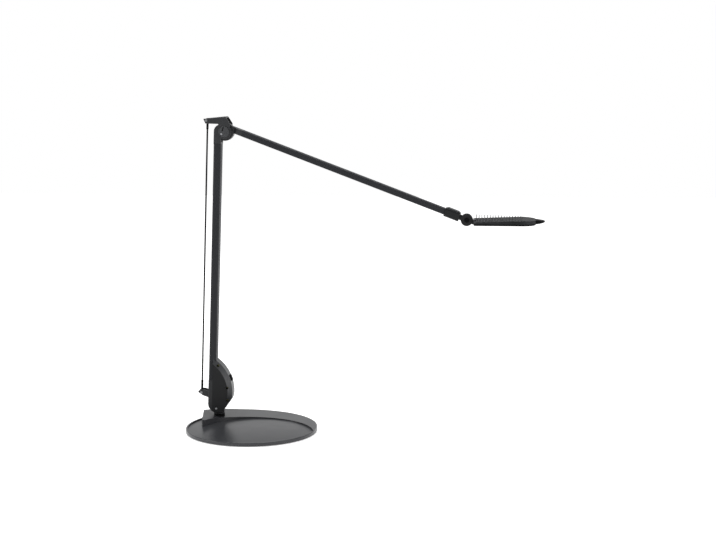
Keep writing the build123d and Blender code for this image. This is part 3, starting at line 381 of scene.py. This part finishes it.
# Green lacquer on the switch's circuit board: glossy.
SOLDER_MASK = Finish(
    "green_solder_mask", "#1f5a38", "#2a6a44", 0.28, grain_mm=0.8, relief_mm=0.004
)
# White lacquer on the lamp's board, which throws the chips' light outward.
WHITE_MASK = Finish(
    "white_solder_mask", "#dededa", "#e8e8e4", 0.34, grain_mm=0.8, relief_mm=0.003
)
# Phosphor over each chip: soft yellow resin.
PHOSPHOR = Finish(
    "yellow_phosphor_resin", "#e0c248", "#e8cf66", 0.30, grain_mm=0.3, relief_mm=0.002
)


# ---------------------------------------------------------------- pieces
@dataclass
class SubAssembly:
    """Pieces that are made and dressed together."""

    sharp_deg: float = 32.0
    flat_deg: float = 0.5
    edge_steps: int = 2

    def build(self) -> None:
        """Make and dress every piece."""
        raise NotImplementedError

    def dress(self, finish: Finish, *nodes: str) -> None:
        """Give CAD nodes their finish and leave their form alone.

        Args:
            finish: The surface.
            *nodes: The CAD nodes.
        """
        for node in nodes:
            data = frame["nodes"][node].data
            data.materials.clear()
            data.materials.append(finish.material())
            log.info("%s: %s", node, finish.name)

    def piece(
        self, node: str, mesh: bpy.types.Mesh, finish: Finish, suffix: str
    ) -> bpy.types.Object:
        """Put a mesh in a node's place, on the node's body.

        Args:
            node: The CAD node that the mesh stands for.
            mesh: The mesh, in metres.
            finish: Its surface.
            suffix: What the piece's name ends in.

        Returns:
            The piece.
        """
        mesh.materials.clear()
        mesh.materials.append(finish.material())
        made = bpy.data.objects.new(f"{node}_{suffix}", mesh)
        bpy.context.scene.collection.objects.link(made)
        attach(made, BODIES[node])
        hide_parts(node)
        log.info("%s: %s, %s", node, suffix, finish.name)
        return made

    def finish_mesh(
        self, work: bmesh.types.BMesh, name: str, host: str, finish: Finish, edge_mm: float
    ) -> None:
        """Turn a mesh in hand into a piece that sits on a CAD node and rides with it.

        Args:
            work: The mesh, which is freed.
            name: The piece's name.
            host: The CAD node that it sits on.
            finish: Its surface.
            edge_mm: Width of its broken edges.
        """
        bmesh.ops.recalc_face_normals(work, faces=work.faces)
        mesh = bpy.data.meshes.new(name)
        work.to_mesh(mesh)
        work.free()
        mesh.shade_smooth()
        mesh.materials.append(finish.material())
        made = bpy.data.objects.new(name, mesh)
        bpy.context.scene.collection.objects.link(made)
        self.break_edges(made, edge_mm)
        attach(made, BODIES[host])
        log.info("%s: on %s, %s", name, host, finish.name)

    def break_edges(self, made: bpy.types.Object, width_mm: float) -> None:
        """Break a piece's hard edges as a mould or die leaves them."""
        edge_break = made.modifiers.new("edge_break", "BEVEL")
        edge_break.width = width_mm * MM
        edge_break.segments = self.edge_steps
        edge_break.limit_method = "ANGLE"
        edge_break.angle_limit = math.radians(self.sharp_deg)
        edge_break.use_clamp_overlap = True
        edge_break.harden_normals = True

    def soften(self, node: str, width_mm: float, finish: Finish) -> bpy.types.Object:
        """Stand for a CAD node with its own form, hard edges broken as a mould or die leaves them.

        Args:
            node: The CAD node that the piece stands for.
            width_mm: Width of the broken edge.
            finish: Its surface.

        Returns:
            The piece.
        """
        mesh = frame["nodes"][node].data.copy()
        limit = math.radians(self.sharp_deg)
        work = bmesh.new()
        work.from_mesh(mesh)
        bmesh.ops.remove_doubles(work, verts=work.verts, dist=WELD_MM * MM)
        flat = math.radians(self.flat_deg)
        bmesh.ops.dissolve_limit(work, angle_limit=flat, verts=work.verts, edges=work.edges)
        for edge in work.edges:
            edge.smooth = len(edge.link_faces) == 2 and edge.calc_face_angle(0.0) <= limit
        for face in work.faces:
            face.smooth = True
            face.material_index = 0
        work.to_mesh(mesh)
        work.free()
        if "custom_normal" in mesh.attributes:
            mesh.attributes.remove(mesh.attributes["custom_normal"])
        made = self.piece(node, mesh, finish, "form")
        self.break_edges(made, width_mm)
        return made


@dataclass
class CrossScrews:
    """Screws turned to their CAD outline, with a rolled shoulder and a cross recess.

    Every share is of the head's radius, but for roll_share, which is of the shoulder, and
    floor_share, which is of the recess's reach.
    """

    node: str
    finish: Finish
    out: Vector
    sides: int = 32
    shoulder_share: float = 0.12
    roll_share: float = 0.3
    recess_share: float = 0.62
    floor_share: float = 0.8
    slot_share: float = 0.16
    depth_share: float = 0.5
    on_axis_mm: float = 0.3
    same_mm: float = 0.01
    pair: int = 2

    def islands(self, work: bmesh.types.BMesh) -> list[list[Vector]]:
        """Split a mesh into its loose parts.

        Args:
            work: The mesh in hand.

        Returns:
            The places of each part's corners, parts in the mesh's own order.
        """
        left = set(work.verts)
        parts = []
        for seed in work.verts:
            if seed not in left:
                continue
            left.remove(seed)
            reached = [seed]
            for vert in reached:
                for edge in vert.link_edges:
                    other = edge.other_vert(vert)
                    if other in left:
                        left.remove(other)
                        reached.append(other)
            parts.append([vert.co.copy() for vert in reached])
        return parts

    def outlines(self) -> list[tuple[Vector, Vector, list[tuple[float, float]]]]:
        """Read each screw of the node.

        Returns:
            For each, its head's middle, the way that it faces, and its outline as pairs of depth
            below the head's top and radius, in metres.
        """
        work = bmesh.new()
        work.from_mesh(frame["nodes"][self.node].data)
        bmesh.ops.remove_doubles(work, verts=work.verts, dist=WELD_MM * MM)
        found = []
        for places in self.islands(work):
            low = Vector(min(p[i] for p in places) for i in range(3))
            high = Vector(max(p[i] for p in places) for i in range(3))
            found.append((places, (low + high) / 2))
        work.free()
        middle = sum((centre for _, centre in found), Vector()) / len(found)
        two_sided = self.out.y != 0 and len(found) <= self.pair
        step = self.same_mm * MM
        screws = []
        for places, centre in found:
            side = math.copysign(1, middle.y - centre.y) if two_sided else 1
            out = self.out * side
            reach = max((p - centre).dot(out) for p in places)
            rows = {}
            for p in places:
                along = (p - centre).dot(out)
                radius = (p - centre - out * along).length
                rows[(round((reach - along) / step), round(radius / step))] = reach - along, radius
            kept = (row for row in rows.values() if row[1] > self.on_axis_mm * MM)
            outline = sorted(kept, key=lambda row: (row[0], -row[1]))
            screws.append((centre + out * reach, out, outline))
        return screws

    def ring(
        self, work: bmesh.types.BMesh, at: Vector, sideways: tuple[Vector, Vector], radius: float
    ) -> list[bmesh.types.BMVert]:
        """Add a ring of corners round a screw's axis.

        Args:
            work: The mesh in hand.
            at: The ring's centre.
            sideways: Two unit vectors across the axis.
            radius: The ring's radius in metres.

        Returns:
            The corners in order.
        """
        corners = []
        for i in range(self.sides):
            t = math.tau * i / self.sides
            spoke = math.cos(t) * sideways[0] + math.sin(t) * sideways[1]
            corners.append(work.verts.new(at + radius * spoke))
        return corners

    def cross(
        self, work: bmesh.types.BMesh, at: Vector, sideways: tuple[Vector, Vector], reach: float
    ) -> list[bmesh.types.BMVert]:
        """Add the twelve corners of a cross.

        Args:
            work: The mesh in hand.
            at: The cross's centre.
            sideways: Two unit vectors along its arms.
            reach: Length of an arm in metres.

        Returns:
            The corners in order.
        """
        half = reach * self.slot_share / self.recess_share
        quarter = [(reach, -half), (reach, half), (half, half)]
        corners = []
        for c, s in ((1, 0), (0, 1), (-1, 0), (0, -1)):
            corners += [(x * c - y * s, x * s + y * c) for x, y in quarter]
        return [work.verts.new(at + x * sideways[0] + y * sideways[1]) for x, y in corners]

    def turn(
        self,
        work: bmesh.types.BMesh,
        top: Vector,
        out: Vector,
        outline: list[tuple[float, float]],
    ) -> None:
        """Turn one screw and cut its recess.

        Args:
            work: The mesh in hand.
            top: Middle of the head's top.
            out: The way that the head faces.
            outline: Pairs of depth and radius.
        """
        first = out.orthogonal().normalized()
        sideways = (first, out.cross(first))
        head = outline[0][1]
        shoulder = head * self.shoulder_share
        roll = shoulder * self.roll_share
        rows = [(0.0, head - shoulder), (roll, head - roll), (shoulder, head)]
        rows += [row for row in outline if row[0] > shoulder]
        rings = [self.ring(work, top - out * depth, sideways, radius) for depth, radius in rows]
        for upper, lower in zip(rings, rings[1:]):
            for i in range(self.sides):
                j = (i + 1) % self.sides
                work.faces.new((upper[i], upper[j], lower[j], lower[i]))
        work.faces.new(list(reversed(rings[-1])))
        recess = head * self.recess_share
        bottom = top - out * head * self.depth_share
        rim = self.cross(work, top, sideways, recess)
        floor = self.cross(work, bottom, sideways, recess * self.floor_share)
        outer = rings[0]
        loop = [work.edges.new((a, b)) for a, b in zip(rim, rim[1:] + rim[:1])]
        border = [work.edges.get((a, b)) for a, b in zip(outer, outer[1:] + outer[:1])]
        bmesh.ops.triangle_fill(work, use_beauty=True, edges=loop + border, normal=out)
        for i in range(len(rim)):
            j = (i + 1) % len(rim)
            work.faces.new((rim[i], rim[j], floor[j], floor[i]))
        work.faces.new(floor)

    def build(self, home: SubAssembly) -> None:
        """Make the node's screws as one piece of a sub-assembly."""
        work = bmesh.new()
        for top, out, outline in self.outlines():
            self.turn(work, top, out, outline)
        bmesh.ops.recalc_face_normals(work, faces=work.faces)
        mesh = bpy.data.meshes.new(f"{self.node}_turned")
        work.to_mesh(mesh)
        work.free()
        mesh.shade_smooth()
        made = home.piece(self.node, mesh, self.finish, "turned")
        crisp = made.modifiers.new("crisp", "EDGE_SPLIT")
        crisp.split_angle = math.radians(home.sharp_deg)


@dataclass
class RoundBase(SubAssembly):
    """Die-cast cover over an iron weight, closed below by a steel plate and a rubber pad."""

    cover_edge: float = 0.6
    pad_edge: float = 0.3
    gland_edge: float = 0.4
    collar_edge: float = 0.3
    rim_radius: float = 115.95
    wall_radius: float = 102.95
    wall_centre: tuple[float, float] = (11.6, -43.2)
    crest_from: float = -42.0
    crest_high: float = 12.8
    crest_low: float = 8.2
    crest_fall: float = 58.0
    crest_foot: float = 4.6
    crest_edge: float = 0.7
    crest_meet_deg: float = -12.8
    stations: int = 90
    columns: int = 6

    def crest_height(self, x: float) -> float:
        """Height of the ledge's crest, which levels out from the foot towards the right."""
        rise = self.crest_high - self.crest_low
        return self.crest_low + rise * math.exp((self.crest_from - x) / self.crest_fall)

    def crest(self) -> None:
        """Lay the ledge's crest over the cover.

        The cover's own ledge dips level with the dish right of its middle, and the crest keeps its
        wall above the dish along its whole length.
        """
        cx, cy = self.wall_centre
        meet = math.radians(self.crest_meet_deg)
        tip = self.rim_radius * math.cos(meet), self.rim_radius * math.sin(meet)
        inner = (
            math.acos((self.crest_from - cx) / self.wall_radius),
            math.atan2(tip[1] - cy, tip[0] - cx),
        )
        outer = (math.acos(self.crest_from / self.rim_radius), meet)
        work = bmesh.new()
        rows = []
        for i in range(self.stations):
            t = i / self.stations
            a = inner[0] + t * (inner[1] - inner[0])
            b = outer[0] + t * (outer[1] - outer[0])
            near = cx + self.wall_radius * math.cos(a), cy + self.wall_radius * math.sin(a)
            far = self.rim_radius * math.cos(b), self.rim_radius * math.sin(b)
            row = [(*near, self.crest_foot)]
            for j in range(self.columns + 1):
                x = near[0] + (far[0] - near[0]) * j / self.columns
                y = near[1] + (far[1] - near[1]) * j / self.columns
                row.append((x, y, self.crest_height(x)))
            row.append((*far, self.crest_foot))
            rows.append([work.verts.new(Vector(point) * MM) for point in row])
        for row, after in zip(rows, rows[1:]):
            for j in range(len(row)):
                k = (j + 1) % len(row)
                work.faces.new((row[j], row[k], after[k], after[j]))
        work.faces.new(rows[0])
        work.faces.new(rows[-1])
        self.finish_mesh(work, "ledge_crest", "base_cover", BASE_PAINT, self.crest_edge)

    def build(self) -> None:
        """Make the cover, what closes it below, and the swivel's fixed half."""
        self.soften("base_cover", self.cover_edge, BASE_PAINT)
        self.crest()
        self.soften("base_pad", self.pad_edge, RUBBER)
        self.soften("cord_gland", self.gland_edge, RUBBER)
        self.soften("swivel_collar", self.collar_edge, BLACK_NYLON_AND_PAINTED_SHADE)
        self.dress(CAST_IRON, "base_weight")
        self.dress(PIN_STEEL, "base_plate")
        self.dress(ACETAL, "swivel_bush")
        CrossScrews("base_screws", ZINC, Vector((0, 0, -1))).build(self)


@dataclass
class TiltFoot(SubAssembly):
    """Casting that turns on the base and carries the lower arm's pin."""

    foot_edge: float = 0.4

    def build(self) -> None:
        """Make the foot and dress what holds it down."""
        self.soften("foot", self.foot_edge, CASTING_PAINT)
        self.dress(PIN_STEEL, "swivel_washer", "swivel_nut")
        self.dress(ACETAL, "tilt_washers")


@dataclass
class LowerArm(SubAssembly):
    """Upright tube between two castings."""

    casting_edge: float = 0.4
    tube_edge: float = 0.15

    def build(self) -> None:
        """Make the tube and its two ends."""
        self.soften("lower_tube", self.tube_edge, TUBE_PAINT)
        self.soften("lower_fitting", self.casting_edge, CASTING_PAINT)
        self.soften("post_head", self.casting_edge, CASTING_PAINT)
        self.dress(PIN_STEEL, "tilt_pin")
        CrossScrews("cheek_screws", ZINC, Vector((0, -1, 0))).build(self)


@dataclass
class SpringHousing(SubAssembly):
    """Two moulded shells that meet along a seam, over the balance spring and the switch."""

    seam_edge: float = 0.5
    button_edge: float = 0.3
    side_facing: float = 0.95

    def build(self) -> None:
        """Make the shells, their screws and the button, and dress what they hide."""
        for node in ("housing_near", "housing_far"):
            shell = self.soften(node, self.seam_edge, HOUSING_PLASTIC).data
            # The bevelled front and narrow faces take the paler band, a painted highlight; the
            # broad flat sides keep the dull plastic.
            shell.materials.append(HOUSING_PAINTED_HIGHLIGHT.material())
            for face in shell.polygons:
                face.material_index = int(abs(face.normal.y) < self.side_facing)
        self.soften("power_button", self.button_edge, BLACK_NYLON_AND_PAINTED_SHADE)
        self.dress(PIN_STEEL, "spring_anchor_pin")
        self.dress(SPRING_WIRE, "balance_spring")
        self.dress(SOLDER_MASK, "switch_board")
        CrossScrews("housing_screws", PASSIVATED, Vector((0, -1, 0))).build(self)


@dataclass
class BalanceLinkage(SubAssembly):
    """Lever at the foot and the thin rod that ties it to the upper arm."""

    lever_edge: float = 0.4
    sleeve_edge: float = 0.3
    rod_extra: float = 0.3

    def thicken(self, node: str, extra_mm: float, finish: Finish) -> None:
        """Draw a rod thicker than its solid, as a rod a pixel wide pales against a white ground.

        Args:
            node: The CAD node that the piece stands for.
            extra_mm: What is added to the rod's radius.
            finish: Its surface.
        """
        mesh = frame["nodes"][node].data.copy()
        places = sorted((v.co.copy() for v in mesh.vertices), key=lambda p: p.z)
        half = len(places) // 2
        low = sum(places[:half], Vector()) / half
        high = sum(places[half:], Vector()) / (len(places) - half)
        along = (high - low).normalized()
        for vert in mesh.vertices:
            out = vert.co - low
            out -= along * out.dot(along)
            if out.length > 0:
                vert.co += out.normalized() * extra_mm * MM
        self.piece(node, mesh, finish, "coated")

    def build(self) -> None:
        """Make the lever, the rod and its sleeves, and dress the pins."""
        self.soften("balance_lever", self.lever_edge, CASTING_PAINT)
        for node in ("rod_sleeve_upper", "rod_sleeve_lower"):
            self.soften(node, self.sleeve_edge, BLACK_NYLON_AND_PAINTED_SHADE)
        self.thicken("tie_rod", self.rod_extra, ROD_STEEL)
        self.dress(PIN_STEEL, "lever_rod_pin", "crank_pin")


@dataclass
class UpperArm(SubAssembly):
    """Sloping tube with its elbow, balance bracket and wrist sleeve."""

    casting_edge: float = 0.4
    bracket_edge: float = 0.5
    cap_edge: float = 0.2
    tube_edge: float = 0.15
    arm_middle: float = 48.0
    painted_shade_depth: float = 0.6

    def build(self) -> None:
        """Make the elbow, the tube and the wrist's sleeve."""
        self.soften("elbow_knuckle", self.casting_edge, CASTING_PAINT)
        self.soften("balance_bracket", self.bracket_edge, CASTING_PAINT)
        caps = self.soften("hub_caps", self.cap_edge, CAP_PLASTIC).data
        # Faces sunk into the caps' slots past the threshold depth take the black: painted shade in
        # the recesses.
        caps.materials.append(BLACK_NYLON_AND_PAINTED_SHADE.material())
        face_reach = max(abs(v.co.y - self.arm_middle * MM) for v in caps.vertices)
        for face in caps.polygons:
            depth = face_reach - abs(face.center.y - self.arm_middle * MM)
            face.material_index = int(depth > self.painted_shade_depth * MM)
        self.soften("upper_tube", self.tube_edge, TUBE_PAINT)
        self.soften("wrist_sleeve", self.casting_edge, HOUSING_PLASTIC)
        self.soften("sleeve_cap", self.cap_edge, CAP_PLASTIC)
        self.dress(ACETAL, "elbow_washers")
        self.dress(PIN_STEEL, "elbow_pin", "bracket_pin")
        self.dress(BLACK_NYLON_AND_PAINTED_SHADE, "rod_spacers")
        CrossScrews("hub_screws", ZINC, Vector((0, -1, 0))).build(self)


@dataclass
class LampHead(SubAssembly):
    """Flat head on its neck: finned heat sink over a tray with the lit board."""

    casting_edge: float = 0.4
    fin_edge: float = 0.2
    tray_edge: float = 0.4
    tab_edge: float = 0.6
    fin_ends_at: tuple[float, float] = (11.2, 11.8)
    last_fin: float = 468.0
    end_facing: float = 0.9

    def build(self) -> None:
        """Make the neck, the hinge, the sink and the tray, and dress what gives the light."""
        self.soften("wrist_neck", self.casting_edge, CASTING_PAINT)
        self.soften("head_hinge", self.casting_edge, HOUSING_PLASTIC)
        self.soften("head_pin", self.casting_edge, BLACK_NYLON_AND_PAINTED_SHADE)
        sink = self.soften("heat_sink", self.fin_edge, SINK_ANODISED).data
        sink.materials.append(FIN_ENDS.material())
        low, high = self.fin_ends_at
        for face in sink.polygons:
            at_end = low * MM < face.center.y < high * MM
            on_fin = face.center.x < self.last_fin * MM
            face.material_index = int(at_end and on_fin and face.normal.y < -self.end_facing)
        self.soften("head_tray", self.tray_edge, BLACK_NYLON_AND_PAINTED_SHADE)
        self.soften("front_tab", self.tab_edge, BLACK_NYLON_AND_PAINTED_SHADE)
        self.dress(PIN_STEEL, "neck_retainer")
        self.dress(WHITE_MASK, "led_board")
        self.dress(PHOSPHOR, "led_chips")
        self.dress(OPAL, "diffuser")
        CrossScrews("head_screws", ZINC, Vector((0, 0, 1))).build(self)


# ---------------------------------------------------------------- studio
@dataclass(frozen=True)
class SoftBox:
    """A rectangular area light, in metres and watts."""

    name: str
    place: tuple[float, float, float]
    aim: tuple[float, float, float]
    size: tuple[float, float]
    watts: float

    def hang(self) -> None:
        """Hang the box so that it faces its aim."""
        light = bpy.data.lights.new(self.name, "AREA")
        light.shape = "RECTANGLE"
        light.size, light.size_y = self.size
        light.energy = self.watts
        holder = bpy.data.objects.new(self.name, light)
        holder.location = self.place
        way = Vector(self.aim) - Vector(self.place)
        holder.rotation_euler = way.to_track_quat("-Z", "Y").to_euler()
        bpy.context.scene.collection.objects.link(holder)


@dataclass
class Studio:
    """Pale floor, soft boxes and the camera at the photograph's angle, in metres.

    A ray's height is its direction's upright share. Mirrored rays see the room go from white at
    ceiling_from to ceiling_level at ceiling_to.
    """

    camera_place: tuple[float, float, float] = (0.4037, -2.573, 0.6576)
    camera_turn_deg: float = 4.76
    camera_dip_deg: float = 8.097
    sensor_mm: float = 36.0
    lens_mm: float = 75.42
    sight: float = 30.0
    floor_reach: float = 4.5
    paper: tuple[str, str] = ("#f4f4f4", "#fafafa")
    paper_grain: float = 400.0
    room_light: float = 0.25
    floor_lift: float = 0.5
    ceiling_level: float = 0.3
    ceiling_from: float = 0.20
    ceiling_to: float = 0.48
    fade_from: float = 0.35
    fade_to: float = 1.3
    boxes: tuple[SoftBox, ...] = (
        SoftBox("overhead_box", (0.0, 0.2, 2.3), (0.0, 0.05, 0.2), (2.0, 1.6), 40),
        SoftBox("left_box", (-2.2, -0.75, 0.6), (-0.05, 0.05, 0.3), (1.2, 1.8), 24),
        SoftBox("right_box", (2.1, -1.05, 0.4), (0.0, 0.05, 0.2), (1.1, 1.6), 15),
    )

    def floor(self) -> None:
        """Lay a pale floor that keeps the lamp's shadow and turns to plain white further off."""
        mesh = bpy.data.meshes.new("studio_floor")
        far = self.floor_reach
        corners = [(-far, -far, 0), (far, -far, 0), (far, far, 0), (-far, far, 0)]
        mesh.from_pydata(corners, [], [(0, 1, 2, 3)])
        floor = bpy.data.objects.new("studio_floor", mesh)
        bpy.context.scene.collection.objects.link(floor)
        made = bpy.data.materials.new("white_paper_floor")
        made.use_nodes = True
        tree = made.node_tree
        tree.nodes.clear()
        seen = self.seen_directly(tree)
        grain = add_node(tree, "ShaderNodeTexNoise", {"Scale": self.paper_grain, "Detail": 2.0})
        paper = add_node(
            tree,
            "ShaderNodeMix",
            {"A": linear(self.paper[0]), "B": linear(self.paper[1])},
            {"Factor": grain.outputs["Fac"]},
            data_type="RGBA",
        )
        matt = add_node(tree, "ShaderNodeBsdfDiffuse", links={"Color": paper.outputs["Result"]})
        lift = add_node(tree, "ShaderNodeEmission", {"Color": (1, 1, 1, 1), "Strength": 1.0})
        lit = add_node(tree, "ShaderNodeAddShader", links={0: matt.outputs[0], 1: lift.outputs[0]})
        place = add_node(tree, "ShaderNodeTexCoord").outputs["Object"]
        far_off = add_node(
            tree, "ShaderNodeVectorMath", links={0: place}, operation="LENGTH"
        ).outputs["Value"]
        lifted = add_node(
            tree,
            "ShaderNodeMapRange",
            {
                "From Min": self.fade_from,
                "From Max": self.fade_to,
                "To Min": self.floor_lift,
                "To Max": 1.0,
            },
            {"Value": far_off},
        ).outputs["Result"]
        share = add_node(tree, "ShaderNodeMath", links={0: seen, 1: lifted}, operation="MULTIPLY")
        mixed = add_node(
            tree,
            "ShaderNodeMixShader",
            links={0: share.outputs[0], 1: matt.outputs[0], 2: lit.outputs[0]},
        )
        add_node(tree, "ShaderNodeOutputMaterial", links={"Surface": mixed.outputs[0]})
        mesh.materials.append(made)

    def seen_directly(self, tree: bpy.types.NodeTree) -> bpy.types.NodeSocket:
        """Tell what the eye, a mirror or glass shows from what only lights the object.

        Args:
            tree: The floor's or world's tree.

        Returns:
            1 where the ray is the camera's, a reflected or a transmitted one, else 0.
        """
        ray = add_node(tree, "ShaderNodeLightPath").outputs
        either = add_node(
            tree,
            "ShaderNodeMath",
            links={0: ray["Is Camera Ray"], 1: ray["Is Glossy Ray"]},
            operation="MAXIMUM",
        )
        return add_node(
            tree,
            "ShaderNodeMath",
            links={0: either.outputs[0], 1: ray["Is Transmission Ray"]},
            operation="MAXIMUM",
        ).outputs[0]

    def world(self) -> None:
        """Fill the room with even light and show it white behind the lamp."""
        world = bpy.data.worlds.new("studio_world")
        bpy.context.scene.world = world
        world.use_nodes = True
        tree = world.node_tree
        tree.nodes.clear()
        way = add_node(tree, "ShaderNodeTexCoord").outputs["Generated"]
        height = add_node(tree, "ShaderNodeSeparateXYZ", links={0: way}).outputs["Z"]
        ceiling = add_node(
            tree,
            "ShaderNodeMapRange",
            {
                "From Min": self.ceiling_from,
                "From Max": self.ceiling_to,
                "To Min": 0.0,
                "To Max": 1.0,
            },
            {"Value": height},
        ).outputs["Result"]
        mirrored = add_node(tree, "ShaderNodeLightPath").outputs["Is Glossy Ray"]
        dimmed = add_node(
            tree, "ShaderNodeMath", links={0: ceiling, 1: mirrored}, operation="MULTIPLY"
        ).outputs[0]
        white = add_node(
            tree,
            "ShaderNodeMath",
            {1: self.ceiling_level - 1.0, 2: 1.0},
            {0: dimmed},
            operation="MULTIPLY_ADD",
            use_clamp=True,
        )
        strength = add_node(
            tree,
            "ShaderNodeMapRange",
            {"To Min": self.room_light},
            {"Value": self.seen_directly(tree), "To Max": white.outputs[0]},
        )
        glow = add_node(
            tree,
            "ShaderNodeBackground",
            {"Color": (1, 1, 1, 1)},
            {"Strength": strength.outputs["Result"]},
        )
        add_node(tree, "ShaderNodeOutputWorld", links={"Surface": glow.outputs[0]})

    def camera(self) -> None:
        """Stand the camera where the photograph was taken from."""
        data = bpy.data.cameras.new("photo_camera")
        data.sensor_width = self.sensor_mm
        data.sensor_fit = "HORIZONTAL"
        data.lens = self.lens_mm
        data.clip_end = self.sight
        turn, dip = math.radians(self.camera_turn_deg), math.radians(self.camera_dip_deg)
        level = math.cos(dip)
        look = Vector((-math.sin(turn) * level, math.cos(turn) * level, -math.sin(dip)))
        camera = bpy.data.objects.new("photo_camera", data)
        camera.location = self.camera_place
        camera.rotation_euler = look.to_track_quat("-Z", "Y").to_euler()
        bpy.context.scene.collection.objects.link(camera)
        bpy.context.scene.camera = camera

    def build(self) -> None:
        """Set up the whole studio."""
        self.floor()
        self.world()
        for box in self.boxes:
            box.hang()
        self.camera()
        log.info("studio: floor, world, three soft boxes and the camera")


def main() -> None:
    """Build the camera and studio, then each sub-assembly in order."""
    logging.basicConfig(level=logging.INFO, format="%(name)s %(message)s")
    bpy.context.scene.view_settings.view_transform = "Standard"
    Studio().build()
    parts = (
        RoundBase(),
        TiltFoot(),
        LowerArm(),
        SpringHousing(),
        BalanceLinkage(),
        UpperArm(),
        LampHead(),
    )
    for part in parts:
        part.build()
        log.info("%s: done", type(part).__name__)
    bpy.context.view_layer.update()


if __name__ == "__main__":
    main()
